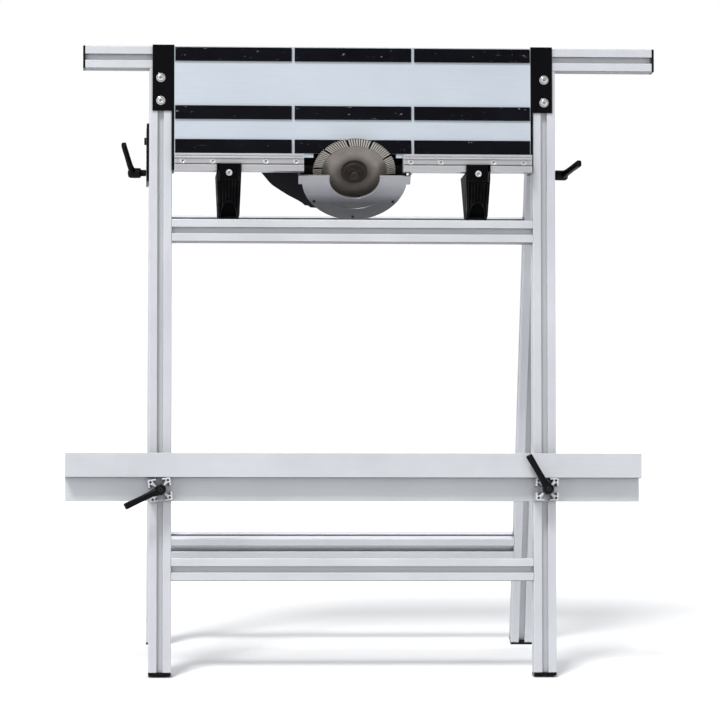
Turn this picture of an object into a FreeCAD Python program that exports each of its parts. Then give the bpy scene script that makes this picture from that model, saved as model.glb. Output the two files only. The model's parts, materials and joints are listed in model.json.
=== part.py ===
"""Folding trestle tile cutter: a slotted aluminium A-frame that carries a marble saw at 45 degrees.

Frames, all in millimetres, +Z up:
  world  origin on the floor, at the centre of the bounding box's footprint
  FRONT  front frame: z runs up the front legs, y = 0 is the middle of the legs, -y is the front
  REAR   rear frame: z runs up the rear legs, y = 0 is the middle of those legs
  SAW    saw head: z is the spindle axis, away from the operator, y points to the handle side
"""
import FreeCAD, Part
import math
import os
import re

V = FreeCAD.Vector
doc = FreeCAD.newDocument("tile_cutter")

DRIVING = {
    # extrusion
    "profile": (30.0, "side of the slotted extrusion"),
    "slot_mouth": (8.2, "width of the slot's mouth"),
    "slot_lip": (2.2, "thickness of the slot's lips"),
    "slot_wide": (16.4, "width of the slot behind the lips"),
    "slot_wall": (1.7, "straight part of the slot's side wall"),
    "slot_floor": (8.6, "width of the slot's floor"),
    "slot_depth": (9.0, "depth of the slot"),
    "core_bore": (6.8, "diameter of the middle bore"),
    "corner_bore": (3.2, "diameter of the four corner bores"),
    "corner_place": (11.4, "corner bore's distance from the middle lines"),
    "edge_chamfer": (0.8, "chamfer along the extrusion's edges"),
    # frames
    "leg_pitch": (510.0, "leg to leg, between middles"),
    "leg_length": (800.0, "front leg"),
    "front_lean": (7.5, "front frame's lean from upright, degrees"),
    "rear_lean": (13.0, "rear frame's lean from upright, degrees"),
    "bar_length": (755.0, "top bar"),
    "bar_shift": (22.5, "top bar's middle, right of the legs' middle"),
    "cap_thick": (3.0, "end cap of the top bar"),
    "foot_thick": (4.0, "foot cap"),
    "foot_flat": (1.0, "how deep the floor plane cuts a foot cap's low edge"),
    "front_mid_rail": (570.0, "underside of the front middle rail, along the leg"),
    "front_low_rail": (121.0, "underside of the front lower rail"),
    "rear_mid_rail": (577.2, "underside of the rear middle rail"),
    "rear_low_rail": (123.3, "underside of the rear lower rail"),
    # fold hinge
    "pivot_up": (712.0, "fold pivot, up the front leg"),
    "pivot_back": (70.0, "fold pivot, behind the front leg's middle"),
    "rear_above": (18.0, "rear leg's end above the pivot"),
    "side_play": (0.5, "gap between a rear leg and its hinge plate"),
    "plate_thick": (3.0, "hinge plates, corner brackets, panel and ledge"),
    "hinge_low": (653.0, "hinge plate's lower edge"),
    "hinge_high": (730.0, "hinge plate's upper edge"),
    "hinge_deep": (92.0, "hinge plate's reach behind the front leg"),
    "pivot_radius": (4.0, "pivot bolt"),
    "running_gap": (0.05, "radial clearance of a shaft that turns"),
    "lever_drop": (44.0, "clamping stud below the pivot, along the rear leg"),
    "stud_radius": (3.0, "studs of the clamping levers"),
    # panel
    "panel_half": (237.0, "half the tile panel's width"),
    "panel_low": (664.0, "panel's lower edge"),
    "panel_high": (829.0, "panel's upper edge"),
    "bracket_high": (831.5, "corner bracket's top"),
    "flange_low": (743.5, "lower edge of a corner bracket's front flange"),
    "flange_width": (26.0, "width of that flange over the leg"),
    "bracket_screw_low": (757.0, "lower screw of that flange"),
    "bracket_screw_high": (787.5, "upper screw of that flange"),
    "side_deep": (45.0, "corner bracket's reach behind the leg's front face"),
    "strip_thick": (3.0, "grip strips"),
    "strip_tall": (18.0, "height of a grip strip"),
    "strip_gap": (4.0, "gap between a strip's three lengths"),
    "strip_break": (79.5, "where those gaps are, from the middle"),
    "fence_half": (66.0, "half the gap between the fence halves"),
    "fence_deep": (22.0, "how far the fence stands out of the panel"),
    "fence_tall": (23.0, "height of the fence"),
    "fence_low": (661.7, "lower edge of the fence"),
    "support_place": (165.0, "gussets under the fence, from the middle"),
    # saw
    "saw_up": (665.9, "blade centre, up the front leg"),
    "saw_back": (12.0, "blade centre, behind the legs' front faces"),
    "saw_shift": (2.5, "blade centre, right of the legs' middle"),
    "saw_tilt": (45.0, "blade's angle to the panel, degrees"),
    "blade_radius": (55.0, "diamond blade"),
    "blade_thick": (1.6, "blade core"),
    "rim_thick": (2.4, "blade rim"),
    "rim_tall": (12.0, "height of the rim"),
    "segments": (10.0, "notches in the blade's rim"),
    "flange_radius": (17.0, "clamping flanges of the blade"),
    "guard_radius": (70.0, "blade guard"),
    "guard_hub": (33.6, "opening of the guard's front face round the hub"),
    "guard_edge": (5.0, "guard's straight edge, past the blade centre"),
    "guard_front": (17.0, "guard's front face, in front of the blade"),
    "gear_module": (1.2, "spindle gears"),
    "gear_teeth": (30.0, "spindle gear"),
    "pinion_teeth": (15.0, "armature pinion"),
    "motor_radius": (38.0, "motor housing"),
    "motor_end": (150.0, "motor housing's end, behind the blade"),
    "grip_near": (22.0, "grip's near side, behind the blade"),
    "grip_wide": (36.0, "grip's width"),
    # ledge
    "ledge_length": (760.0, "tile ledge"),
    "ledge_web": (256.5, "underside of the ledge's web, up the front leg"),
    "ledge_deep": (34.0, "lip's face, in front of the legs"),
    "lip_tall": (32.0, "height of the ledge's lip"),
    "flange_tall": (30.5, "height of the ledge's back flange, below the web"),
    "slide_gap": (0.3, "clearance of sliding faces"),
}
D = {name: value for name, (value, note) in DRIVING.items()}

sheet = doc.addObject("Spreadsheet::Sheet", "Dims")
for row, (alias, (value, note)) in enumerate(DRIVING.items(), start=1):
    sheet.set(f"A{row}", note)
    sheet.set(f"B{row}", str(value))
    sheet.setAlias(f"B{row}", alias)
doc.recompute()

# ---------------------------------------------------------------- frames
HALF = D["profile"] / 2
LEG_X = D["leg_pitch"] / 2
LEAN = math.radians(D["front_lean"])
REAR_LEAN = math.radians(D["rear_lean"])
FOLD = D["front_lean"] + D["rear_lean"]
GEAR_PITCH = D["gear_module"] * (D["gear_teeth"] + D["pinion_teeth"]) / 2
FACE = -HALF
OVERHANG = D["bar_length"] / 2 + D["bar_shift"] + D["cap_thick"]
MIDDLE_X = -(OVERHANG - D["ledge_length"] / 2) / 2
FOOTPRINT_FRONT = 148.3


def foot_height(lean):
    """Height of a leg's lower end when its cap's low edge is cut off by the floor."""
    return D["foot_thick"] * math.cos(lean) + HALF * math.sin(lean) - D["foot_flat"]


FRONT = FreeCAD.Placement(V(MIDDLE_X, -FOOTPRINT_FRONT, foot_height(LEAN)),
                          FreeCAD.Rotation(V(1, 0, 0), -D["front_lean"]))
PIVOT = FRONT.multVec(V(0, D["pivot_back"], D["pivot_up"]))
REAR_UP = (PIVOT.z - foot_height(REAR_LEAN)) / math.cos(REAR_LEAN)
REAR = FreeCAD.Placement(V(MIDDLE_X, PIVOT.y + REAR_UP * math.sin(REAR_LEAN), foot_height(REAR_LEAN)),
                         FreeCAD.Rotation(V(1, 0, 0), D["rear_lean"]))
SAW = FRONT * FreeCAD.Placement(V(D["saw_shift"], FACE + D["saw_back"], D["saw_up"]),
                                FreeCAD.Rotation(V(1, 0, 0), -D["saw_tilt"]))
TURN = {
    "z": FreeCAD.Rotation(),
    "x": FreeCAD.Rotation(V(0, 1, 0), 90),
    "-x": FreeCAD.Rotation(V(0, 1, 0), -90),
    "y": FreeCAD.Rotation(V(1, 0, 0), -90),
    "-y": FreeCAD.Rotation(V(1, 0, 0), 90),
}
LUG_WIDE = 7.5
parts = []


# ---------------------------------------------------------------- building blocks
def cells(text):
    """An expression in plain alias names, with each alias pointed at the sheet."""
    return re.sub(r"[a-z_]+", lambda m: "Dims." + m.group(0) if m.group(0) in D else m.group(0), str(text))


def bind(obj, **sizes):
    for prop, text in sizes.items():
        obj.setExpression(prop, cells(text))


def put(obj, place, rotation=FreeCAD.Rotation()):
    """Give a feature its rotation, and bind its base point to the sheet."""
    obj.Placement = FreeCAD.Placement(V(0, 0, 0), rotation)
    for letter, text in zip("xyz", place):
        obj.setExpression("Placement.Base." + letter, cells(text))
    return obj


def box(sizes, corner, rotation=FreeCAD.Rotation()):
    block = doc.addObject("Part::Box", "Block")
    bind(block, Length=sizes[0], Width=sizes[1], Height=sizes[2])
    return put(block, corner, rotation)


def rod(radius, length, start, axis="z"):
    round_bar = doc.addObject("Part::Cylinder", "Rod")
    bind(round_bar, Radius=radius, Height=length)
    return put(round_bar, start, TURN[axis])


def cone(radius, end_radius, length, start, rotation):
    taper = doc.addObject("Part::Cone", "Taper")
    bind(taper, Radius1=radius, Radius2=end_radius, Height=length)
    return put(taper, start, rotation)


def fuse(*shapes):
    if len(shapes) == 1:
        return shapes[0]
    union = doc.addObject("Part::MultiFuse", "Union")
    union.Shapes = list(shapes)
    union.Refine = True
    return union


def cut(base, *tools):
    difference = doc.addObject("Part::Cut", "Difference")
    difference.Base = base
    difference.Tool = tools[0] if len(tools) == 1 else fuse(*tools)
    return difference


def group(*shapes):
    """Separate solids that share one node."""
    together = doc.addObject("Part::Compound", "Group")
    together.Links = list(shapes)
    return together


def part(label, obj, frame):
    obj.Label = label
    obj.Placement = frame * obj.Placement
    parts.append(obj)
    return obj


def sub_part(label, frame, *shapes):
    return part(label, group(*shapes), frame)


def outline(points):
    """Closed run of straight lines through the points."""
    corners = [V(x, y, 0) for x, y in points]
    return [Part.LineSegment(a, b) for a, b in zip(corners, corners[1:] + corners[:1])]


def sketch(body, name, geometry, role="XY_Plane"):
    drawing = body.newObject("Sketcher::SketchObject", name)
    plane = next(f for f in body.Origin.OriginFeatures if f.Role == role)
    drawing.AttachmentSupport = [(plane, "")]
    drawing.MapMode = "FlatFace"
    drawing.addGeometry(geometry, False)
    return drawing


def padded(name, geometry, length, place=(0, 0, 0), rotation=FreeCAD.Rotation()):
    """Body that pads one drawing in its XY plane by a length bound to the sheet."""
    body = doc.addObject("PartDesign::Body", name)
    pad = body.newObject("PartDesign::Pad", name + "_pad")
    pad.Profile = sketch(body, name + "_drawing", geometry)
    bind(pad, Length=length)
    return put(body, place, rotation)


def revolved(name, points, place=(0, 0, 0), rotation=FreeCAD.Rotation()):
    """Body turned about its own Z from an outline in radius and height."""
    body = doc.addObject("PartDesign::Body", name)
    drawing = sketch(body, name + "_drawing", outline(points), "XZ_Plane")
    turned = body.newObject("PartDesign::Revolution", name + "_turned")
    turned.Profile = drawing
    turned.ReferenceAxis = (drawing, ["V_Axis"])
    turned.Angle = 360
    return put(body, place, rotation)


def circle(x, y, radius):
    return Part.Circle(V(x, y, 0), V(0, 0, 1), radius)


def inset(points, gap):
    """The outline moved inwards by gap; its points run anticlockwise."""
    count = len(points)
    moved = []
    for i in range(count):
        (ax, ay), (bx, by), (cx, cy) = points[i - 1], points[i], points[(i + 1) % count]
        into = math.atan2(by - ay, bx - ax)
        onward = math.atan2(cy - by, cx - bx)
        half_turn = (onward - into) / 2
        normal = into + half_turn + math.pi / 2
        reach = gap / math.cos(half_turn)
        moved.append((bx + reach * math.cos(normal), by + reach * math.sin(normal)))
    return moved


# ---------------------------------------------------------------- slotted extrusion
def slot_side():
    """Half-open outline of one side of the profile, facing +y, left to right."""
    mouth, wide, floor = D["slot_mouth"] / 2, D["slot_wide"] / 2, D["slot_floor"] / 2
    under_lip = HALF - D["slot_lip"]
    wall_end = under_lip - D["slot_wall"]
    bottom = HALF - D["slot_depth"]
    edge = HALF - D["edge_chamfer"]
    left = [(-edge, HALF), (-mouth, HALF), (-mouth, under_lip), (-wide, under_lip),
            (-wide, wall_end), (-floor, bottom)]
    return left + [(-x, y) for x, y in reversed(left)]


def profile_geometry():
    points = []
    for quarter in range(4):
        c, s = round(math.cos(-quarter * math.pi / 2)), round(math.sin(-quarter * math.pi / 2))
        points += [(c * x - s * y, s * x + c * y) for x, y in slot_side()]
    corners = [circle(i * D["corner_place"], j * D["corner_place"], D["corner_bore"] / 2)
               for i in (-1, 1) for j in (-1, 1)]
    return outline(points) + [circle(0, 0, D["core_bore"] / 2)] + corners


def extrusion(name, length, place, rotation=FreeCAD.Rotation()):
    return padded(name, profile_geometry(), length, place, rotation)


# ---------------------------------------------------------------- front frame
def front_frame():
    for side, name in ((-1, "left"), (1, "right")):
        leg = extrusion("leg", "leg_length", (f"{side} * leg_pitch / 2", "0", "0"))
        sub_part("front_leg_" + name, FRONT, leg)
    foot_caps("front_foot_caps", FRONT, "leg_pitch / 2", D["front_lean"], 1)
    bar = extrusion("bar", "bar_length",
                    ("bar_shift - bar_length / 2", "0", "leg_length + profile / 2"), TURN["x"])
    sub_part("top_bar", FRONT, bar)
    ends = [box(("cap_thick", "profile", "profile"), (x, "-profile / 2", "leg_length"))
            for x in ("bar_shift - bar_length / 2 - cap_thick", "bar_shift + bar_length / 2")]
    sub_part("top_bar_caps", FRONT, *ends)
    for level, name in (("front_mid_rail", "front_middle_rail"), ("front_low_rail", "front_lower_rail")):
        rail = extrusion("rail", "leg_pitch - profile",
                         ("-(leg_pitch - profile) / 2", "0", level + " + profile / 2"), TURN["x"])
        sub_part(name, FRONT, rail)


def foot_caps(label, frame, half_pitch, lean, low_side):
    """Two plastic caps under a pair of legs, cut level with the floor."""
    caps = []
    for side in (-1, 1):
        cap = box(("profile", "profile", "foot_thick"),
                  (f"{side} * ({half_pitch}) - profile / 2", "-profile / 2", "-foot_thick"))
        spigot = rod("core_bore / 2", "12", (f"{side} * ({half_pitch})", "0", "-1"))
        ground = box(("2 * profile", "3 * profile", "profile"), ("0", "0", "0"))
        turn = FreeCAD.Rotation(V(1, 0, 0), low_side * lean)
        drop = D["foot_thick"] * math.cos(math.radians(lean)) + HALF * math.sin(math.radians(lean))
        level = FreeCAD.Placement(V(0, 0, 0), turn)
        corner = level.multVec(V(side * LEG_X - D["profile"], -1.5 * D["profile"],
                                 -drop + D["foot_flat"] - D["profile"]))
        put(ground, (corner.x, corner.y, corner.z), turn)
        caps.append(cut(fuse(cap, spigot), ground))
    sub_part(label, frame, *caps)


# ---------------------------------------------------------------- rear frame
def rear_frame():
    half_pitch = "(leg_pitch / 2 - side_play)"
    for side, name in ((-1, "left"), (1, "right")):
        leg = extrusion("leg", f"{REAR_UP} + rear_above", (f"{side} * {half_pitch}", "0", "0"))
        hole = rod("pivot_radius + running_gap", "2 * profile",
                   (f"{side} * {half_pitch} - profile", "0", REAR_UP), "x")
        part("rear_leg_" + name, cut(leg, hole), REAR)
    foot_caps("rear_foot_caps", REAR, half_pitch, D["rear_lean"], -1)
    for level, name in (("rear_mid_rail", "rear_middle_rail"), ("rear_low_rail", "rear_lower_rail")):
        start = ("-(leg_pitch - profile) / 2 + side_play", "0", level + " + profile / 2")
        rail = extrusion("rail", "leg_pitch - profile - 2 * side_play", start, TURN["x"])
        sub_part(name, REAR, rail)
    nuts = []
    for side, axis in ((-1, "x"), (1, "-x")):
        up = f"{REAR_UP} - lever_drop"
        nut = rod("5.5", "4", (f"{side} * ({half_pitch} + profile / 2 - slot_lip)", "0", up), axis)
        bore = rod("stud_radius + running_gap", "40",
                   (f"{side} * ({half_pitch} + profile / 2 + 20)", "0", up), axis)
        nuts.append(cut(nut, bore))
    sub_part("lever_nuts", REAR, *nuts)


# ---------------------------------------------------------------- fold hinge
def hinge_bracket(side, name):
    """Angle plate: one flange on the leg's back face, the other beside the rear leg."""
    low, high, deep = D["hinge_low"], D["hinge_high"], D["hinge_deep"]
    corner = 10.0
    back = HALF + deep
    edge = [(HALF, low), (back - corner, low), (back, low + corner), (back, high - corner),
            (back - corner, high), (HALF, high)]
    plate = padded("hinge_side_" + name, outline(edge) + hinge_slot()
                   + [circle(D["pivot_back"], D["pivot_up"], D["pivot_radius"])], "plate_thick",
                   (f"{side} * (leg_pitch + profile) / 2 - {(1 - side) / 2} * plate_thick", "0", "0"),
                   FreeCAD.Rotation(V(1, 1, 1), 120))
    flange = box(("profile", "plate_thick", "hinge_high - hinge_low"),
                 (f"{side} * leg_pitch / 2 - profile / 2", "profile / 2", "hinge_low"))
    holes = [rod("3.2", "12", (f"{side} * leg_pitch / 2", "profile / 2 - 4", z), "y")
             for z in hinge_screw_heights()]
    part("hinge_bracket_" + name, cut(fuse(plate, flange), *holes), FRONT)


def hinge_slot():
    """Curved slot round the pivot, for the clamping stud; it runs from open to folded."""
    radius, half_width = D["lever_drop"], D["stud_radius"] + 0.4
    centre = V(D["pivot_back"], D["pivot_up"], 0)
    start, end = math.radians(-90 - 1), math.radians(-90 + FOLD + 1)

    def at(r, angle):
        return centre + V(r * math.cos(angle), r * math.sin(angle), 0)

    middle = (start + end) / 2
    outer, inner = radius + half_width, radius - half_width
    turn = half_width / radius
    return [Part.Arc(at(outer, start), at(outer, middle), at(outer, end)),
            Part.Arc(at(outer, end), at(radius, end + turn), at(inner, end)),
            Part.Arc(at(inner, end), at(inner, middle), at(inner, start)),
            Part.Arc(at(inner, start), at(radius, start - turn), at(outer, start))]


def hinge_screw_heights():
    return ("hinge_low + 15", "hinge_high - 15")


def hinges():
    screws = []
    bolts = []
    for side, name, axis in ((-1, "left", "-x"), (1, "right", "x")):
        hinge_bracket(side, name)
        for z in hinge_screw_heights():
            head = rod("5.5", "3", (f"{side} * leg_pitch / 2", "profile / 2 + plate_thick", z), "y")
            shank = rod("3", "8", (f"{side} * leg_pitch / 2", "profile / 2 - 4", z), "y")
            screws.append(fuse(head, shank))
        outer = f"{side} * ((leg_pitch + profile) / 2 + plate_thick)"
        head = rod("5", "3", (outer, "pivot_back", "pivot_up"), axis)
        shank = rod("pivot_radius", "plate_thick + profile + 4",
                    (f"{side} * ((leg_pitch - profile) / 2 - 4)", "pivot_back", "pivot_up"), axis)
        nut = rod("6.5", "3.5",
                  (f"{side} * ((leg_pitch - profile) / 2 - 4.5)", "pivot_back", "pivot_up"), axis)
        bolts.append(fuse(head, shank, nut))
    sub_part("hinge_screws", FRONT, *screws)
    sub_part("pivot_bolts", FRONT, *bolts)


# ---------------------------------------------------------------- tile panel and fence
def corner_brackets():
    screws = []
    for side, name in ((-1, "left"), (1, "right")):
        inner = f"{side} * (leg_pitch - profile) / 2"
        shift = (1 - side) / 2
        flange = box(("flange_width", "plate_thick", "bracket_high - flange_low"),
                     (f"{inner} - {shift} * flange_width", "-profile / 2 - plate_thick", "flange_low"))
        low_corner = (f"{inner} - {1 - shift} * plate_thick", "-profile / 2 - plate_thick", "panel_low + 0.5")
        web = box(("plate_thick", "plate_thick + side_deep", "leg_length - panel_low - 1"), low_corner)
        nose = box(("plate_thick", "plate_thick", "bracket_high - panel_low - 0.5"), low_corner)
        middle = f"{side} * leg_pitch / 2"
        face = "-profile / 2 - plate_thick"
        holes = []
        for up in ("bracket_screw_low", "bracket_screw_high"):
            holes.append(rod("3.2", "12", (middle, "-profile / 2 - 6", up), "y"))
            head = rod("6", "3.5", (middle, face + " - 3.5", up), "y")
            socket = rod("2.2", "2", (middle, face + " - 3.5", up), "y")
            shank = rod("3", "8", (middle, face, up), "y")
            screws.append(cut(fuse(head, shank), socket))
        part("corner_bracket_" + name, cut(fuse(flange, web, nose), *holes), FRONT)
    sub_part("bracket_screws", FRONT, *screws)


def tile_panel():
    half, low, high = D["panel_half"], D["panel_low"], D["panel_high"]
    gap, slot, middle = D["fence_half"], D["blade_radius"], D["saw_shift"]
    step, top = low + 18, low + 23.5
    edge = [(gap, low), (half, low), (half, high), (-half, high), (-half, low), (-gap, low),
            (-gap, step), (middle - slot, step), (middle - slot, top), (middle + slot, top),
            (middle + slot, step), (gap, step)]
    holes = [circle(x, fence_screw_height(), 2.05) for x in fence_screw_places()]
    sheet_metal = padded("panel_sheet", outline(edge) + holes, "plate_thick",
                         ("0", "-profile / 2", "0"), TURN["-y"])
    sub_part("tile_panel", FRONT, sheet_metal)


def grip_strips():
    """Rubber strips that the tile slides on: three rows, each of three lengths."""
    breaks = [-D["panel_half"] + 1, -D["strip_break"], D["strip_break"], D["panel_half"] - 1]
    gap = D["strip_gap"] / 2
    lengths = []
    for level in (810.0, 732.5, 687.5):
        for i in range(3):
            start = breaks[i] + (gap if i else 0)
            end = breaks[i + 1] - (gap if i < 2 else 0)
            lengths.append(box((end - start, "strip_thick", "strip_tall"),
                               (start, "-profile / 2 - plate_thick - strip_thick", level)))
    sub_part("grip_strips", FRONT, *lengths)


def fence_screw_places():
    return [side * x for side in (-1, 1) for x in (76.0, 116.0, 186.0, 226.0)]


def fence_screw_height():
    return D["fence_low"] + 13.3


def fence():
    """Two halves of an extruded rail; the tile's lower edge slides along their tops."""
    deep, tall = D["fence_deep"], D["fence_tall"]
    section = [(0, 0), (deep, 0), (deep, 8.0), (deep - 3, 8.0), (deep - 3, 9.8), (deep - 2, 9.8),
               (deep - 2, 16.8), (deep, 16.8), (deep, 18.7), (deep - 0.9, 19.1), (deep - 0.9, 20.1),
               (deep, 20.5), (deep, tall), (0, tall)]
    section = [(y, x) for x, y in section]
    for side, name in ((-1, "left"), (1, "right")):
        start = "fence_half" if side > 0 else "-panel_half"
        length = "panel_half - fence_half"
        rail = padded("fence_rail", outline([(-x, y) for y, x in section][::-1]), length,
                      (start, "-profile / 2 - plate_thick", "fence_low"), FreeCAD.Rotation(V(1, 1, 1), 120))
        holes = [rod("2.05", "fence_deep + 4", (x, "-profile / 2 - plate_thick - fence_deep - 2",
                                               fence_screw_height()), "y")
                 for x in fence_screw_places() if x * side > 0]
        part("fence_" + name, cut(rail, *holes), FRONT)
    screws = []
    for x in fence_screw_places():
        face = "-profile / 2 - plate_thick - fence_deep + 2"
        head = rod("3.5", "2", (x, face + " - 2", fence_screw_height()), "y")
        shank = rod("2", "fence_deep + 1", (x, face, fence_screw_height()), "y")
        socket = rod("1.5", "1.4", (x, face + " - 2", fence_screw_height()), "y")
        screws.append(cut(fuse(head, shank), socket))
    sub_part("fence_screws", FRONT, *screws)


def support_brackets():
    """Moulded gussets under the fence; their feet stand on the front middle rail."""
    screws = []
    for side, name in ((-1, "left"), (1, "right")):
        front, foot = D["plate_thick"] + D["fence_deep"], D["front_mid_rail"] + D["profile"]
        deck = D["fence_low"] - 0.3
        top = deck - 2.6
        side_view = [(front + 2.5, deck + 9.6), (front + 0.3, deck + 9.6), (front + 0.3, deck),
                     (-62, deck), (-28, foot), (0, foot), (front + 2.5, deck - 7.4)]
        side_view = [(FACE - n, up) for n, up in side_view]
        body = padded("gusset", outline(side_view[::-1]), "30",
                      (f"{side} * support_place - 15", "0", "0"), FreeCAD.Rotation(V(1, 1, 1), 120))
        hollow = [(FACE + 3, foot + 12), (FACE + 24, foot + 8), (FACE + 50, deck - 3), (FACE - 14, deck - 3)]
        pockets = [padded("support_pocket_" + name, outline(hollow), "12",
                          (x, "0", "0"), FreeCAD.Rotation(V(1, 1, 1), 120))
                   for x in (f"{side} * support_place - 16", f"{side} * support_place + 4")]
        middle = f"{side} * support_place"
        hole = rod("2.55", "8", (middle, "-profile / 2 - plate_thick - fence_deep - 5", top), "y")
        part("support_bracket_" + name, cut(body, hole, *pockets), FRONT)
        face = "-profile / 2 - plate_thick - fence_deep - 2.5"
        head = rod("4.3", "3", (middle, face + " - 3", top), "y")
        shank = rod("2.5", "5", (middle, face, top), "y")
        socket = rod("2", "2", (middle, face + " - 3", top), "y")
        screws.append(cut(fuse(head, shank), socket))
    sub_part("support_screws", FRONT, *screws)


# ---------------------------------------------------------------- saw: base, guard, housings
def base_plate():
    """Saw shoe against the back of the panel, notched for the blade and the guard."""
    left, right, low, high = -102.0, 106.0, D["panel_low"] - 1.5, 777.0
    middle = D["saw_shift"]
    wide, narrow = D["guard_radius"] + 9, D["fence_half"] + 4
    step, top = low + 5, 705
    edge = [(middle + wide, low), (right, low), (right, high), (left, high), (left, low),
            (middle - wide, low), (middle - wide, step), (middle - narrow, step), (middle - narrow, top),
            (middle + narrow, top), (middle + narrow, step), (middle + wide, step)]
    screw_places = [(x, z) for x in (left + 8, right - 8) for z in (690, 765)]
    holes = [circle(x, z, 2.6) for x, z in screw_places]
    plate = padded("shoe", outline(edge) + holes, "plate_thick",
                   ("0", "-profile / 2 + plate_thick", "0"), TURN["-y"])
    sub_part("saw_base_plate", FRONT, plate)
    screws = []
    for x, z in screw_places:
        shank = rod("2.5", "plate_thick", (x, "-profile / 2", z), "y")
        head = rod("4.5", "3", (x, "-profile / 2 + plate_thick", z), "y")
        screws.append(fuse(shank, head))
    sub_part("base_plate_screws", FRONT, *screws)
    arms = []
    inner = D["guard_radius"] + LUG_WIDE - 3
    shield_near, shield_low = 29.0, 667.0
    for side in (-1, 1):
        back = "-profile / 2 + plate_thick"
        foot = box(("10", "plate_thick", "34"), (middle + side * (inner + 5) - 5, back, "668"))
        cheek = box(("3", "20", "39.5"), (middle + side * (inner + 1.5) - 1.5, back, low))
        half = (inner + shield_near) / 2
        reach = inner - shield_near
        wall = box((reach, "3", "35"), (middle + side * half - reach / 2, "5", shield_low))
        arms.append(fuse(foot, cheek, wall))
    sub_part("bevel_brackets", FRONT, *arms)


def half_ring(outer, inner, edge):
    """Half-moon with a round opening, both cut by the same straight edge."""
    far = math.sqrt(outer * outer - edge * edge)
    near = math.sqrt(inner * inner - edge * edge)
    return [Part.Arc(V(far, -edge, 0), V(0, outer, 0), V(-far, -edge, 0)),
            Part.LineSegment(V(-far, -edge, 0), V(-near, -edge, 0)),
            Part.Arc(V(-near, -edge, 0), V(0, inner, 0), V(near, -edge, 0)),
            Part.LineSegment(V(near, -edge, 0), V(far, -edge, 0))]


def guard_screw_places():
    reach = D["guard_radius"] - 5.0
    return [(reach * math.cos(math.radians(a)), reach * math.sin(math.radians(a))) for a in (36, 90, 144)]


def blade_guard():
    radius, edge, wall = D["guard_radius"], D["guard_edge"], 3.0
    split, back = -4.0, 5.5
    inside = back - 2.5
    places = guard_screw_places()
    plate = padded("case_plate", half_ring(radius, D["flange_radius"] + 0.6, edge), "2.5", (0, 0, inside))
    rim = padded("case_rim", half_ring(radius, radius - wall, edge), inside - split, (0, 0, split))
    bosses = [rod("4.2", inside - split, (x, y, split)) for x, y in places]
    threads = [rod("1.5", "6", (x, y, split)) for x, y in places]
    part("guard_case", cut(fuse(plate, rim, *bosses), *threads), SAW)
    deep = f"guard_front + ({split})"
    face = padded("cover_plate", half_ring(radius, D["guard_hub"], edge), "2.5", (0, 0, "-guard_front"))
    skirt = padded("cover_rim", half_ring(radius, radius - wall, edge), deep, (0, 0, "-guard_front"))
    lug_middle = radius - 3 + LUG_WIDE / 2
    lugs = [box((LUG_WIDE, "14", deep), (side * lug_middle - LUG_WIDE / 2, "-guard_edge", "-guard_front"))
            for side in (-1, 1)]
    pocket = 11.5
    pockets = [box((pocket, "14", deep), (side * (lug_middle + LUG_WIDE / 2 - 2 - pocket / 2) - pocket / 2,
                                          "-guard_edge - 2", "-guard_front + 2.5")) for side in (-1, 1)]
    pillars = [rod("4.2", deep, (x, y, "-guard_front")) for x, y in places]
    bores = [rod("1.5", "guard_front + 2", (x, y, "-guard_front - 1")) for x, y in places]
    part("guard_cover", cut(fuse(face, skirt, *lugs, *pillars), *bores, *pockets), SAW)
    screws = []
    for x, y in places:
        head = rod("1.9", "1.0", (x, y, "-guard_front - 1.0"))
        shank = rod("1.5", deep + " + 5.5", (x, y, "-guard_front"))
        screws.append(fuse(head, shank))
    sub_part("guard_screws", SAW, *screws)


def gear_housing():
    """Cast housing round the two gears, with a boss for the spindle bearing."""
    motor_y = GEAR_PITCH
    shell = [rod("25.5", "24", (0, 0, 16)), rod("motor_radius", "24", (0, motor_y, 16)),
             rod("flange_radius + 3", "11", (0, 0, 5.5))]
    room = [rod("21.5", "21", (0, 0, 20)), rod("motor_radius - 4", "21", (0, motor_y, 20)),
            rod("14", "8", (0, 0, 8)), rod("7", "20", (0, 0, 4))]
    part("gear_housing", cut(fuse(*shell), *room), SAW)


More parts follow.
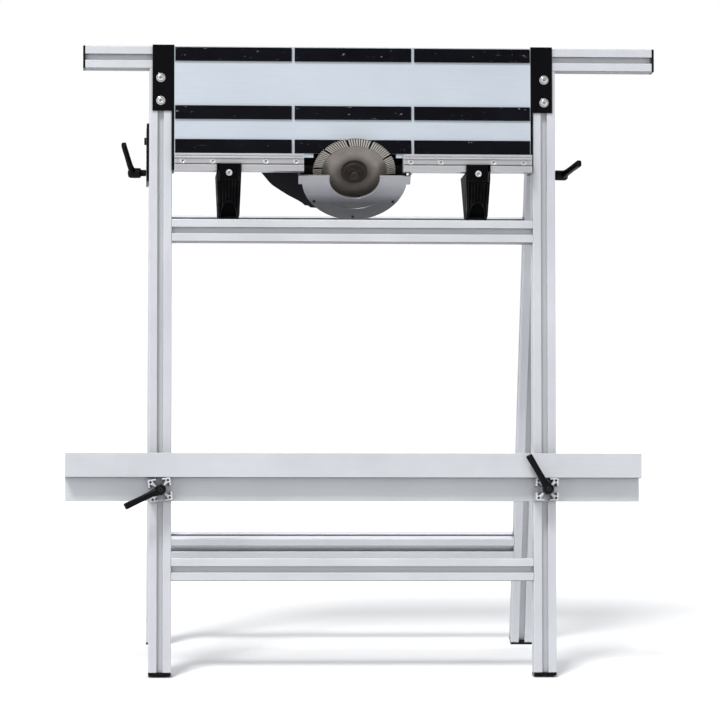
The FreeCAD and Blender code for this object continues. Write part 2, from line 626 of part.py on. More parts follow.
def motor_housing():
    """Moulded barrel round the motor, with a bulkhead for the bearings and vents at its end."""
    outer, wall, end = D["motor_radius"], 3.0, D["motor_end"]
    section = [(11, 40), (outer, 40), (outer, end - 12), (outer - 4, end - 4), (outer - 12, end),
               (0, end), (0, end - 3), (11, end - 3), (11, end - 4), (outer - 13, end - 4),
               (outer - wall - 3, end - 12), (outer - wall, end - 14), (outer - wall, 51), (11, 51)]
    barrel = revolved("motor_barrel", section, (0, GEAR_PITCH, 0))
    vents = []
    for i in range(12):
        slot = box(("12", "4", "16"), (0, 0, 0))
        angle = 30 * i
        around = FreeCAD.Rotation(V(0, 0, 1), angle)
        corner = FreeCAD.Placement(V(0, GEAR_PITCH, 0), around).multVec(V(outer - 8, -2, end - 32))
        put(slot, (corner.x, corner.y, corner.z), around)
        vents.append(slot)
    spindle_seat = rod("9", "3", (0, 0, 39))
    brush_bores = [rod("6.1", "12", (f"{side} * (motor_radius - 8)", GEAR_PITCH, 116), axis)
                   for side, axis in ((1, "x"), (-1, "-x"))]
    part("motor_housing", cut(barrel, spindle_seat, *vents, *brush_bores), SAW)
    caps = []
    brushes = []
    for side, axis in ((1, "x"), (-1, "-x")):
        caps.append(rod("6", "5", (f"{side} * (motor_radius - 4)", GEAR_PITCH, 116), axis))
        brushes.append(box(("23.7", "5", "8"), (side * 22.15 - 11.85, GEAR_PITCH - 2.5, 112)))
    sub_part("brush_caps", SAW, *caps)
    sub_part("carbon_brushes", SAW, *brushes)
    stator = cut(rod("motor_radius - 3", "46", (0, GEAR_PITCH, 60)), rod("22.5", "50", (0, GEAR_PITCH, 58)))
    part("stator", group(stator), SAW)


def bearing(x, y, z, bore, outer, width):
    return cut(rod(outer, width, (x, y, z)), rod(f"{bore} + running_gap", f"{width} + 2", (x, y, z - 1)))


def bearings():
    sub_part("bearings", SAW,
             bearing(0, 0, 8, 6, 14, 8), bearing(0, 0, 38, 4, 9, 4),
             bearing(0, GEAR_PITCH, 41, 4, 11, 8), bearing(0, GEAR_PITCH, 138.5, 4, 11, 7))


# ---------------------------------------------------------------- saw: grip, trigger, lock button
def grip_points():
    """Side outline of the sloping grip, anticlockwise seen along the spindle."""
    return [(-96.0, -10.0), (-44.0, 36.0), (-35.0, 62.0), (30.0, 64.0), (36.0, 72.0), (24.0, 81.0),
            (-50.0, 82.0), (-60.0, 80.5), (-67.5, 72.0), (-87.5, 59.0), (-109.0, 41.5), (-126.0, 16.0)]


def trigger_axis():
    """Direction in which the trigger is pressed, square to the grip's inner edge."""
    inner, outer = grip_points()[0], grip_points()[1]
    run = math.hypot(outer[0] - inner[0], outer[1] - inner[1])
    return (-(outer[1] - inner[1]) / run, (outer[0] - inner[0]) / run)


def along_grip(distance, depth):
    """A point in the grip: distance up its inner edge, depth in from that edge."""
    start = grip_points()[0]
    press = trigger_axis()
    return (start[0] + distance * press[1] + depth * press[0],
            start[1] - distance * press[0] + depth * press[1])


def trigger_block(name, near, far, low, high, front, back):
    corners = [along_grip(low, front), along_grip(high, front), along_grip(high, back), along_grip(low, back)]
    return padded(name, outline(corners), far - near, (0, 0, near))


def grip():
    near, wide = D["grip_near"], D["grip_wide"]
    split, far = near + wide / 2, near + wide
    cavity = inset(grip_points(), 3.0)
    halves = (("near", near, split, near + 3, split), ("far", split, far, split, far - 3))
    for name, low, high, floor, roof in halves:
        shell = padded("grip_" + name, outline(grip_points()), high - low, (0, 0, low))
        room = padded("grip_room_" + name, outline(cavity), roof - floor, (0, 0, floor))
        well = trigger_block("trigger_well_" + name, split - 7, split + 7, 24, 54, -6, 18)
        barrel = rod("motor_radius", "60", (0, GEAR_PITCH, "grip_near - 5"))
        tools = [room, well, barrel]
        x, y = along_grip(48, 22)
        if name == "far":
            tools.append(rod("5.4", "8", (x, y, far - 5)))
        mouth = along_grip(8, 19)
        tools.append(put(rod("5.1", "20", (0, 0, 0)), (mouth[0], mouth[1], split), gland_turn()))
        part("grip_shell_" + name, cut(shell, *tools), SAW)
    paddle = trigger_block("trigger_paddle", split - 6, split + 6, 26, 52, -7, 8)
    sub_part("trigger", SAW, paddle)
    x, y = along_grip(48, 22)
    sub_part("lock_button", SAW, rod("5", "7", (x, y, far - 4)))
    sleeve_start = along_grip(6, 19)
    sleeve = put(rod("5", "10", (0, 0, 0)), (sleeve_start[0], sleeve_start[1], split), gland_turn())
    tail_start = along_grip(-3.8, 19)
    tail = cone("6.5", "4.5", "16", (tail_start[0], tail_start[1], split), gland_turn())
    sub_part("cord_gland", SAW, cut(fuse(sleeve, tail), cord_bore()))


def gland_turn():
    """Turns +z to point down the grip, out of its lower end."""
    press = trigger_axis()
    return FreeCAD.Rotation(V(0, 0, 1), V(-press[1], press[0], 0))


def cord_bore():
    start = along_grip(8, 19)
    middle = D["grip_near"] + D["grip_wide"] / 2
    return put(rod("3", "30", (0, 0, 0)), (start[0], start[1], middle), gland_turn())


# ---------------------------------------------------------------- saw: what turns
def gear_geometry(teeth, first_tooth, bore):
    """Involute gear outline; first_tooth is the angle of one tooth's middle, in degrees."""
    module = D["gear_module"]
    pitch = module * teeth / 2
    base = pitch * math.cos(math.radians(20))
    tip, root = pitch + 0.85 * module, pitch - 1.2 * module
    backlash = 0.06 * module

    def half_width(radius):
        """Half a tooth's angle at a radius."""
        pressure = math.acos(min(1.0, base / radius))
        involute = math.tan(pressure) - pressure
        at_pitch = math.tan(math.radians(20)) - math.radians(20)
        return (math.pi / 2 - 2 * backlash / module) / teeth + at_pitch - involute

    heights = [max(base, root) + (tip - max(base, root)) * i / 4 for i in range(5)]
    points = []
    for i in range(int(teeth)):
        middle = math.radians(first_tooth) + 2 * math.pi * i / teeth
        rise = [(root, -half_width(heights[0]))] + [(r, -half_width(r)) for r in heights]
        for r, angle in rise + [(r, -a) for r, a in reversed(rise)]:
            points.append((r * math.cos(middle + angle), r * math.sin(middle + angle)))
    return outline(points) + ([circle(0, 0, bore)] if bore else [])


def blade():
    """Turbo-rim diamond blade: thin core, thicker rim with notches all round."""
    core = padded("blade_core", [circle(0, 0, D["blade_radius"] - 6), circle(0, 0, 10)], "blade_thick",
                  (0, 0, "-blade_thick / 2"))
    ring = [circle(0, 0, D["blade_radius"]), circle(0, 0, D["blade_radius"] - D["rim_tall"])]
    rim = padded("blade_rim", ring, "rim_thick", (0, 0, "-rim_thick / 2"))
    notches = []
    for i in range(int(D["segments"])):
        around = FreeCAD.Rotation(V(0, 0, 1), 360 / D["segments"] * i - 66)
        corner = around.multVec(V(D["blade_radius"] - D["rim_tall"], -1.1, -3))
        notches.append(box(("rim_tall + 4", "2.2", "6"), (corner.x, corner.y, corner.z), around))
    part("diamond_blade", cut(fuse(core, rim), *notches), SAW)


def spindle():
    inner = fuse(cut(rod("flange_radius", "4", (0, 0, "blade_thick / 2")), rod("6", "10", (0, 0, -2))),
                 cut(rod("9.95", "blade_thick", (0, 0, "-blade_thick / 2")), rod("6", "10", (0, 0, -5))))
    outer = cut(rod("flange_radius", "4.5", (0, 0, "-blade_thick / 2 - 4.5")), rod("4", "12", (0, 0, -8)))
    sub_part("blade_flanges", SAW, inner, outer)
    hexagon = [(7.5 * math.cos(math.pi * i / 3), 7.5 * math.sin(math.pi * i / 3)) for i in range(6)]
    head = padded("bolt_hexagon", outline(hexagon), "5.3", (0, 0, "-blade_thick / 2 - 11.3"))
    washer = rod("9", "1.5", (0, 0, "-blade_thick / 2 - 6"))
    shank = rod("4", "18", (0, 0, "-blade_thick / 2 - 4.5"))
    part("arbor_bolt", group(fuse(head, washer, shank)), SAW)
    shaft = cut(fuse(rod("6", "36", (0, 0, "-blade_thick / 2")), rod("4", "7", (0, 0, 35))),
                rod("4", "13.5", (0, 0, "-blade_thick / 2")))
    part("spindle", group(shaft), SAW)
    teeth = gear_geometry(D["gear_teeth"], 90 + 180 / D["gear_teeth"], 6.0)
    wheel = padded("spindle_wheel", teeth, "9", (0, 0, 24))
    part("spindle_gear", group(wheel), SAW)


def armature():
    pinion = padded("armature_pinion", gear_geometry(D["pinion_teeth"], -90, 0), "11", (0, GEAR_PITCH, 23))
    shaft = rod("4", "119", (0, GEAR_PITCH, 27))
    commutator = rod("10", "16", (0, GEAR_PITCH, 108.5))
    part("armature_shaft", group(fuse(pinion, shaft, commutator)), SAW)
    core = cut(rod("21.5", "44", (0, GEAR_PITCH, 61)), rod("4", "60", (0, GEAR_PITCH, 50)))
    part("rotor_core", group(core), SAW)
    hub = cut(fuse(rod("8", "8", (0, GEAR_PITCH, 52)), rod("30", "1.5", (0, GEAR_PITCH, 52))),
              rod("4", "20", (0, GEAR_PITCH, 45)))
    vanes = []
    for i in range(9):
        around = FreeCAD.Rotation(V(0, 0, 1), 40 * i)
        corner = FreeCAD.Placement(V(0, GEAR_PITCH, 0), around).multVec(V(7.5, -0.6, 53))
        vanes.append(put(box(("22", "1.2", "6"), (0, 0, 0)), (corner.x, corner.y, corner.z), around))
    part("cooling_fan", group(fuse(hub, *vanes)), SAW)


# ---------------------------------------------------------------- tile ledge
def ledge_stud_places():
    """Left and right clamping studs: along the ledge, and up the leg."""
    return ((-LEG_X, D["ledge_web"] - 16.9, 7.0), (LEG_X, D["ledge_web"] - 15.4, 0.0))


def tile_ledge():
    thick, web, deep = D["plate_thick"], D["ledge_web"], D["ledge_deep"]
    near, low = D["slide_gap"], D["ledge_web"] - D["flange_tall"]
    lip = web + D["lip_tall"]
    section = [(near, low), (near, web + thick), (deep - thick, web + thick), (deep - thick, lip),
               (deep, lip), (deep, web), (near + thick, web), (near + thick, low)]
    section = [(FACE - n, up) for n, up in section]
    strip = padded("ledge_sheet", outline(section), "ledge_length", ("-ledge_length / 2", "0", "0"),
                   FreeCAD.Rotation(V(1, 1, 1), 120))
    holes = [rod("stud_radius", "12", (x, "-profile / 2 - 8", up), "y")
             for x, up, turn in ledge_stud_places()]
    part("tile_ledge", cut(strip, *holes), FRONT)
    blocks = []
    studs = []
    for x, up, turn in ledge_stud_places():
        rotation = TURN["-y"] * FreeCAD.Rotation(V(0, 0, 1), turn)
        block = extrusion("clamp_block", "ledge_deep - plate_thick - 2 * slide_gap",
                          (x, "-profile / 2 - plate_thick - slide_gap", up), rotation)
        blocks.append(block)
        stud = rod("stud_radius", "ledge_deep + 20", (x, "-profile / 2 - ledge_deep - 15", up), "y")
        head = box(("10.5", "4.4", "20"), (f"{x} - 5.25", "-profile / 2 + slot_lip + 0.4", f"{up} - 10"))
        studs.append(fuse(stud, head))
    sub_part("clamp_blocks", FRONT, *blocks)
    sub_part("clamp_studs", FRONT, *studs)


# ---------------------------------------------------------------- clamping levers
def lever(collar, hub_start, hub_length, hub_radius, reach, rise, tip_radius):
    """Clamping lever about its own z: collar, hub and an arm that slopes outwards along +x."""
    neck = rod("5", hub_start - collar, (0, 0, collar))
    hub = rod(hub_radius, hub_length, (0, 0, hub_start))
    start = hub_start + hub_length - tip_radius - 1
    slope = math.degrees(math.atan2(rise, reach))
    arm = cone(tip_radius + 1.2, tip_radius, math.hypot(reach, rise), (0, 0, start),
               FreeCAD.Rotation(V(0, 1, 0), 90 - slope))
    tip = doc.addObject("Part::Sphere", "Tip")
    bind(tip, Radius=tip_radius)
    put(tip, (reach, 0, start + rise))
    return [neck, hub, arm, tip]


def levers():
    fold = math.radians(FOLD)
    stud_y = D["pivot_back"] + D["lever_drop"] * math.sin(fold)
    stud_z = D["pivot_up"] - D["lever_drop"] * math.cos(fold)
    for side, name, forward, rise in ((-1, "left", 44.0, 11.0), (1, "right", 76.0, 15.5)):
        gap = D["slide_gap"]
        stud = rod("stud_radius", "plate_thick + side_play + slot_lip + 5",
                   (0, 0, "-plate_thick - side_play - 6.9"))
        handle = fuse(stud, *lever(gap, 7.5, 17, 7, 47, rise, 3.4))
        face = side * (LEG_X + HALF + D["plate_thick"])
        outward = FreeCAD.Rotation(V(0, 0, 1), V(0, -side, 0), V(side, 0, 0), "ZXY")
        aim = FreeCAD.Rotation(V(1, 0, 0), forward) * outward
        part("side_lever_" + name, handle, FRONT * FreeCAD.Placement(V(face, stud_y, stud_z), aim))
    for (x, up, turn), name, angle in zip(ledge_stud_places(), ("left", "right"), (206.0, 121.0)):
        bore = rod("stud_radius + running_gap", "17", (0, 0, -1))
        handle = cut(fuse(*lever(0, 3, 15, 7.5, 49.5, 5, 4)), bore)
        aim = FreeCAD.Rotation(V(1, 0, 0), 90) * FreeCAD.Rotation(V(0, 0, 1), angle)
        place = FreeCAD.Placement(V(x, FACE - D["ledge_deep"], up), aim)
        part("ledge_lever_" + name, handle, FRONT * place)


front_frame()
rear_frame()
hinges()
corner_brackets()
tile_panel()
grip_strips()
fence()
support_brackets()
base_plate()
blade_guard()
gear_housing()
motor_housing()
bearings()
grip()
blade()
spindle()
armature()
tile_ledge()
levers()
doc.recompute()

for obj in doc.Objects:
    if "Invalid" in obj.State or "Error" in obj.State:
        raise RuntimeError(f"{obj.Label} did not compute: {obj.State}")
for obj in parts:
    if obj.Shape.isNull() or not obj.Shape.isValid() or not obj.Shape.Solids:
        raise RuntimeError(f"{obj.Label} has no valid solid")

os.makedirs("parts", exist_ok=True)
for obj in parts:
    obj.Shape.exportStep(os.path.join("parts", obj.Label + ".step"))
whole = Part.makeCompound([obj.Shape for obj in parts])
extent = whole.BoundBox
print(f"{len(parts)} sub-parts, x {extent.XMin:.1f} to {extent.XMax:.1f},"
      f" y {extent.YMin:.1f} to {extent.YMax:.1f}, z {extent.ZMin:.1f} to {extent.ZMax:.1f}")
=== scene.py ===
"""Folding trestle tile cutter: materials, detailed pieces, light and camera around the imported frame."""
import json
import math
import bmesh
import bpy
from mathutils import Matrix, Vector

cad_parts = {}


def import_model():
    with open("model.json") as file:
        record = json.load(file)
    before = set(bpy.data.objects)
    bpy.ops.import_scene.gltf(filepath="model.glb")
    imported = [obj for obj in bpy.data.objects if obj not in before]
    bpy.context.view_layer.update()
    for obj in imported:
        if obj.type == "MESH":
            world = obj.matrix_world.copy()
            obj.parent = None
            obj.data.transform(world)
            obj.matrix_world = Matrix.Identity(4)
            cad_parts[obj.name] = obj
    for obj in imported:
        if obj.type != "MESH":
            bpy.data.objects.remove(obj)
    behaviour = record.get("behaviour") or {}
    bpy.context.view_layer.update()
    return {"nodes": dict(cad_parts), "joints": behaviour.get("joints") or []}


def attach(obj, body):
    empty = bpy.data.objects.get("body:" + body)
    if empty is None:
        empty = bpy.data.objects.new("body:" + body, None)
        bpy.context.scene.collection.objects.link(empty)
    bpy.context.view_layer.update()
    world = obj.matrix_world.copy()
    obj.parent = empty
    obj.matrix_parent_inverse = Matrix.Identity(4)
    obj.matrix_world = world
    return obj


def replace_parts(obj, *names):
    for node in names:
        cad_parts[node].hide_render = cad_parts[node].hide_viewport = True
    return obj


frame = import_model()
MM = 0.001
LEAN = math.radians(7.5)
REAR_LEAN = math.radians(13.0)
joints = {j["name"]: j for j in frame["joints"]}
nodes = frame["nodes"]

# ---------------------------------------------------------------- sizes, in millimetres
PIVOT_UP, PIVOT_BACK = 712.0, 70.0      # fold pivot, up and behind the front leg
FACE = -15.0                            # front face of the front legs
LEG_X = 255.0                           # middle of a front leg
PLATE = 3.0                             # corner brackets, hinge plates and panel
BRACKET_SCREW_UP = (757.0, 787.5)
HINGE_SCREW_UP = (668.0, 715.0)
BASE_SCREW_X, BASE_SCREW_UP = (-94.0, 98.0), (690.0, 765.0)
FENCE_SCREW_X, FENCE_SCREW_UP = (76.0, 116.0, 186.0, 226.0), 675.0
FENCE_OUT = 22.95                       # fence's face, in front of the legs' face
GUSSET_X = 165.0                        # middle of a gusset under the fence
GUSSET_SCREW_UP, GUSSET_OUT = 658.8, 27.5
GEAR_PITCH = 27.0                       # spindle axis to motor axis
MOTOR_RADIUS, MOTOR_END = 38.0, 150.0
BRUSH_UP = 116.0                        # brush caps, along the motor
GUARD_FRONT = -17.0                     # guard's face, along the spindle


# ---------------------------------------------------------------- frames
def place(origin, rotation):
    """Matrix from a local frame in millimetres to the row frame in metres."""
    return Matrix.Translation(origin) @ rotation.to_4x4() @ Matrix.Scale(MM, 4)


def axes(x, y, z):
    return Matrix((x, y, z)).transposed()


def turned_about(axis_z, axis_x):
    """Rotation with z on the first axis, and x as near the second as it can be."""
    z = Vector(axis_z).normalized()
    x = Vector(axis_x)
    x = (x - z * x.dot(z)).normalized()
    return axes(x, z.cross(x), z)


up = Vector((0, math.sin(LEAN), math.cos(LEAN)))
back = Vector((0, math.cos(LEAN), -math.sin(LEAN)))
pivot = Vector(joints["rear_frame_fold"]["pos_m"])
FRONT = place(pivot - (back * PIVOT_BACK + up * PIVOT_UP) * MM, axes(Vector((1, 0, 0)), back, up))
spin = joints["blade_spin"]
SAW = place(Vector(spin["pos_m"]), turned_about(spin["axis"], (1, 0, 0)))
OUT = Matrix.Rotation(math.radians(90), 4, "X")     # a local z that points out of the front face
BEHIND = Matrix.Rotation(math.radians(-90), 4, "X")  # a local z that points backwards
SIDEWAYS = Matrix(((0, 0, 1, 0), (1, 0, 0, 0), (0, 1, 0, 0), (0, 0, 0, 1)))   # x back, y up, z right


def in_front(x, up_leg, out=0.0):
    """Frame on the front frame's face: x right, y up the leg, z towards the operator."""
    return FRONT @ Matrix.Translation((x, FACE - out, up_leg)) @ OUT


# ---------------------------------------------------------------- materials
def node_tree(name):
    mat = bpy.data.materials.new(name)
    mat.use_nodes = True
    tree = mat.node_tree
    shader = tree.nodes["Principled BSDF"]
    return mat, tree, shader


def wire(tree, a, b):
    tree.links.new(a, b)


def noise(tree, coord, scale, detail=4.0, rough=0.55, stretch=(1, 1, 1), turn=0.0):
    """Noise in object space; stretch makes it streaky and turn tilts it about X."""
    mapping = tree.nodes.new("ShaderNodeMapping")
    mapping.inputs["Scale"].default_value = stretch
    mapping.inputs["Rotation"].default_value = (turn, 0, 0)
    tex = tree.nodes.new("ShaderNodeTexNoise")
    tex.inputs["Scale"].default_value = scale
    tex.inputs["Detail"].default_value = detail
    tex.inputs["Roughness"].default_value = rough
    wire(tree, coord, mapping.inputs["Vector"])
    wire(tree, mapping.outputs["Vector"], tex.inputs["Vector"])
    return tex.outputs["Fac"]


def remap(tree, value, low, high, from_low=0.3, from_high=0.7):
    node = tree.nodes.new("ShaderNodeMapRange")
    node.inputs["From Min"].default_value = from_low
    node.inputs["From Max"].default_value = from_high
    node.inputs["To Min"].default_value = low
    node.inputs["To Max"].default_value = high
    wire(tree, value, node.inputs["Value"])
    return node.outputs["Result"]


def mix(tree, factor, a, b):
    """Mixes two colours; each is a colour or another node's output."""
    node = tree.nodes.new("ShaderNodeMix")
    node.data_type = "RGBA"
    wire(tree, factor, node.inputs["Factor"])
    for value, socket in ((a, node.inputs[6]), (b, node.inputs[7])):
        if isinstance(value, tuple):
            socket.default_value = (*value, 1.0)
        else:
            wire(tree, value, socket)
    return node.outputs[2]


def edge_mask(tree, radius, strength):
    """1 along edges, which are lightened as wear and painted highlight, 0 on flats: how far a rounded normal
    leaves the true one.
    """
    rounded = tree.nodes.new("ShaderNodeBevel")
    rounded.samples = 4
    rounded.inputs["Radius"].default_value = radius
    true = tree.nodes.new("ShaderNodeNewGeometry")
    dot = tree.nodes.new("ShaderNodeVectorMath")
    dot.operation = "DOT_PRODUCT"
    wire(tree, rounded.outputs["Normal"], dot.inputs[0])
    wire(tree, true.outputs["Normal"], dot.inputs[1])
    return rounded.outputs["Normal"], remap(tree, dot.outputs["Value"], strength, 0.0, 0.80, 0.97)


# Shares of the colour kept in the grain, and in the painted shade of recesses and of edges that turn
# downwards.
GRAIN_TONE, RECESS_SHADE_TONE, UNDER_SHADE_TONE = 0.82, 0.10, 0.12     # shares of the colour left in dark parts


def scaled(color, share):
    return tuple(c * share for c in color)


def product(tree, a, b):
    node = tree.nodes.new("ShaderNodeMath")
    node.operation = "MULTIPLY"
    wire(tree, a, node.inputs[0])
    wire(tree, b, node.inputs[1])
    return node.outputs["Value"]


def height_of(tree, vector):
    """Z of a vector output."""
    split = tree.nodes.new("ShaderNodeSeparateXYZ")
    wire(tree, vector, split.inputs["Vector"])
    return split.outputs["Z"]


def surface(name, color, second, metallic, rough, rough_spread=0.08, grain=600.0, stretch=(1, 1, 1),
            turn=0.0, bump=0.05, bump_depth=0.0002, edge=0.0004, rubbed_and_lit_edge_colour=None, rubbed_and_lit_edges=0.0, even=0.0,
            smudge=9.0, specular=0.5, specks=None, recess_shade=0.0, recess_shade_reach=0.012, under_shade=0.0, shade_below=None):
    """Layered finish: streaks or grain, smudges, specks, fine bump, and light and shade painted into the
    colour.

    Edges lighten, partly as wear and partly as painted highlight; recesses darken as painted shade; one
    option darkens edges that turn downwards as painted shade; another darkens the colour below a height as
    painted shade, given as (low z, high z, share of the colour left below)."""
    mat, tree, shader = node_tree(name)
    coord = tree.nodes.new("ShaderNodeTexCoord").outputs["Object"]
    fine = noise(tree, coord, grain, 3.0, 0.6, stretch, turn)
    broad = noise(tree, coord, smudge, 5.0, 0.6)
    tone = mix(tree, remap(tree, broad, 0.0, 1.0), color, second)
    shade = mix(tree, remap(tree, fine, 0.0, 0.35), tone, scaled(color, GRAIN_TONE))
    rounded, mask = edge_mask(tree, edge, rubbed_and_lit_edges)
    # Edges lighten: partly wear, partly painted highlight where edges catch the light.
    if rubbed_and_lit_edge_colour:
        patchy = remap(tree, noise(tree, coord, 55.0, 6.0), even, 1.0, 0.42, 0.58)
        shade = mix(tree, product(tree, mask, patchy), shade, rubbed_and_lit_edge_colour)
    if specks:
        scuffs = noise(tree, coord, 30.0, 3.0, 0.6, (2.2, 9, 9))
        dots = noise(tree, coord, 300.0, 2.0, 0.5, (0.7, 1, 1))
        scuffed = remap(tree, scuffs, 0.0, 1.0, 0.61, 0.72)
        dotted = remap(tree, dots, 0.0, 1.0, 0.58, 0.66)
        shade = mix(tree, product(tree, scuffed, dotted), shade, specks)
    # Painted shade: recesses darken by ambient occlusion, standing in for the shade that falls into them.
    if recess_shade:
        recess = tree.nodes.new("ShaderNodeAmbientOcclusion")
        recess.samples = 6
        recess.inputs["Distance"].default_value = recess_shade_reach
        depth = remap(tree, recess.outputs["AO"], recess_shade, 0.0, 0.05, 0.90)
        shade = mix(tree, depth, shade, scaled(color, RECESS_SHADE_TONE))
    # Painted shade: rounded edges that turn downwards are darkened.
    if under_shade:
        below = remap(tree, height_of(tree, rounded), under_shade, 0.0, -0.55, -0.28)
        shade = mix(tree, below, shade, scaled(color, UNDER_SHADE_TONE))
    # Painted shade: the colour darkens below a given height.
    if shade_below:
        low, high, left = shade_below
        dim = remap(tree, height_of(tree, coord), 1.0, 0.0, low, high)
        shade = mix(tree, dim, shade, scaled(color, left))
    wire(tree, shade, shader.inputs["Base Color"])
    shader.inputs["Metallic"].default_value = metallic
    shader.inputs["Specular IOR Level"].default_value = specular
    gloss = remap(tree, broad, rough - rough_spread, rough + rough_spread)
    wire(tree, gloss, shader.inputs["Roughness"])
    relief = tree.nodes.new("ShaderNodeBump")
    relief.inputs["Strength"].default_value = bump
    relief.inputs["Distance"].default_value = bump_depth
    wire(tree, fine, relief.inputs["Height"])
    wire(tree, rounded, relief.inputs["Normal"])
    wire(tree, relief.outputs["Normal"], shader.inputs["Normal"])
    return mat


# Anodised profiles: their lightened edges are painted highlights along the slot lips and outer edges.
ANODISED = dict(color=(0.54, 0.555, 0.585), second=(0.60, 0.615, 0.645), metallic=0.60, rough=0.40,
                rough_spread=0.05, bump=0.10, bump_depth=0.00005, grain=1.0, recess_shade=0.40, recess_shade_reach=0.006,
                edge=0.0013, rubbed_and_lit_edge_colour=(0.95, 0.955, 0.97), rubbed_and_lit_edges=0.95, even=0.75, under_shade=0.8)
# In these finishes, darkened recesses and downward edges are painted shade, and lightened edges are partly
# wear and partly painted highlight.
MAT = {
    "along_x": surface("anodised_rail", stretch=(14, 2600, 2600), **ANODISED),
    "along_leg": surface("anodised_leg", stretch=(2600, 2600, 14), turn=-LEAN, **ANODISED),
    "along_rear": surface("anodised_rear_leg", stretch=(2600, 2600, 14), turn=REAR_LEAN, **ANODISED),
    "fence": surface("anodised_fence", (0.44, 0.44, 0.46), (0.52, 0.52, 0.54), 0.75, 0.30, 0.05, 1.0,
                     (14, 2600, 2600), bump=0.10, bump_depth=0.00005, recess_shade=1.0, recess_shade_reach=0.008,
                     edge=0.0018, rubbed_and_lit_edge_colour=(1.0, 1.0, 1.0), rubbed_and_lit_edges=1.0, even=0.9, under_shade=0.4),
    "panel": surface("anodised_panel", (0.44, 0.485, 0.535), (0.49, 0.535, 0.585), 0.40, 0.50, 0.05, 1.0,
                     (22, 1500, 1500), bump=0.08, bump_depth=0.00004, smudge=5.0),
    "black_steel": surface("black_powder_coat", (0.0012, 0.0012, 0.002), (0.0025, 0.0025, 0.0035), 0.0, 0.42,
                           0.06, 1600.0, bump=0.25, bump_depth=0.00012, rubbed_and_lit_edge_colour=(0.045, 0.045, 0.05), rubbed_and_lit_edges=0.7,
                           specular=0.05),
    # Dark brown-black case.
    "guard_inside": surface("dark_brown_case", (0.006, 0.0055, 0.005), (0.020, 0.017, 0.014), 0.2, 0.6, 0.1, 500.0,
                            bump=0.5, bump_depth=0.0004, rubbed_and_lit_edge_colour=(0.06, 0.055, 0.05), rubbed_and_lit_edges=0.6, specular=0.2),
    "black_oxide": surface("black_oxide", (0.012, 0.012, 0.013), (0.025, 0.024, 0.024), 0.7, 0.36, 0.06,
                           900.0, bump=0.1, rubbed_and_lit_edge_colour=(0.16, 0.155, 0.15), rubbed_and_lit_edges=0.8),
    # Zinc: the screw sockets are darkened as painted shade.
    "zinc": surface("zinc_plate", (0.62, 0.62, 0.63), (0.72, 0.72, 0.72), 0.95, 0.24, 0.06, 500.0, bump=0.06,
                    edge=0.0003, recess_shade=0.98, recess_shade_reach=0.003),
    "plastic": surface("black_moulding", (0.0018, 0.0018, 0.0026), (0.004, 0.004, 0.0055), 0.0, 0.34, 0.07,
                       1900.0, bump=0.30, bump_depth=0.00015, rubbed_and_lit_edge_colour=(0.035, 0.035, 0.04), rubbed_and_lit_edges=0.5,
                       specular=0.10),
    "gusset": surface("gusset_moulding", (0.0012, 0.0012, 0.0016), (0.0025, 0.0025, 0.003), 0.0, 0.5, 0.07,
                      1900.0, bump=0.30, bump_depth=0.00015, edge=0.0007, rubbed_and_lit_edge_colour=(0.085, 0.085, 0.09),
                      rubbed_and_lit_edges=0.9, even=0.3, specular=0.02),
    "motor": surface("motor_moulding", (0.0035, 0.0035, 0.006), (0.0065, 0.0065, 0.0105), 0.0, 0.44, 0.07,
                     1500.0, bump=0.30, bump_depth=0.00016, rubbed_and_lit_edge_colour=(0.10, 0.10, 0.11), rubbed_and_lit_edges=0.6, edge=0.0009,
                     specular=0.12),
    "rubber": surface("grip_rubber", (0.0012, 0.0012, 0.0028), (0.0035, 0.004, 0.0065), 0.0, 0.34, 0.10, 24.0,
                      (6, 90, 90), bump=0.12, bump_depth=0.0002, specks=(0.34, 0.35, 0.37), specular=0.06),
    # The guard's lower part is darkened as painted shade, below a height.
    "guard": surface("satin_guard", (0.40, 0.40, 0.43), (0.47, 0.48, 0.51), 0.65, 0.32, 0.05, 1400.0,
                     bump=0.12, bump_depth=0.00008, rubbed_and_lit_edge_colour=(0.80, 0.80, 0.82), rubbed_and_lit_edges=0.9, even=0.6, edge=0.0008,
                     recess_shade=0.6, recess_shade_reach=0.006, shade_below=(0.6225, 0.634, 0.36)),
    "casting": surface("die_casting", (0.40, 0.41, 0.42), (0.48, 0.48, 0.49), 0.7, 0.46, 0.07, 750.0,
                       bump=0.35, bump_depth=0.00025, rubbed_and_lit_edge_colour=(0.62, 0.62, 0.63), rubbed_and_lit_edges=0.6, edge=0.0008,
                       recess_shade=0.7),
    "rib": surface("diamond_grit", (0.36, 0.335, 0.30), (0.60, 0.575, 0.53), 0.35, 0.55, 0.08, 2200.0,
                   bump=0.6, bump_depth=0.0003, rubbed_and_lit_edge_colour=(0.85, 0.83, 0.78), rubbed_and_lit_edges=0.8, even=0.5, edge=0.0003),
    "lamination": surface("lamination", (0.16, 0.16, 0.17), (0.22, 0.22, 0.23), 0.8, 0.40, 0.06, 1.0,
                          (1800, 1800, 1800), bump=0.3),
    "carbon": surface("carbon", (0.02, 0.02, 0.02), (0.03, 0.03, 0.03), 0.0, 0.6, 0.06, 1200.0),
    "seal": surface("gland_rubber", (0.008, 0.008, 0.009), (0.013, 0.013, 0.014), 0.0, 0.62, 0.06, 900.0,
                    bump=0.2, specular=0.3),
}


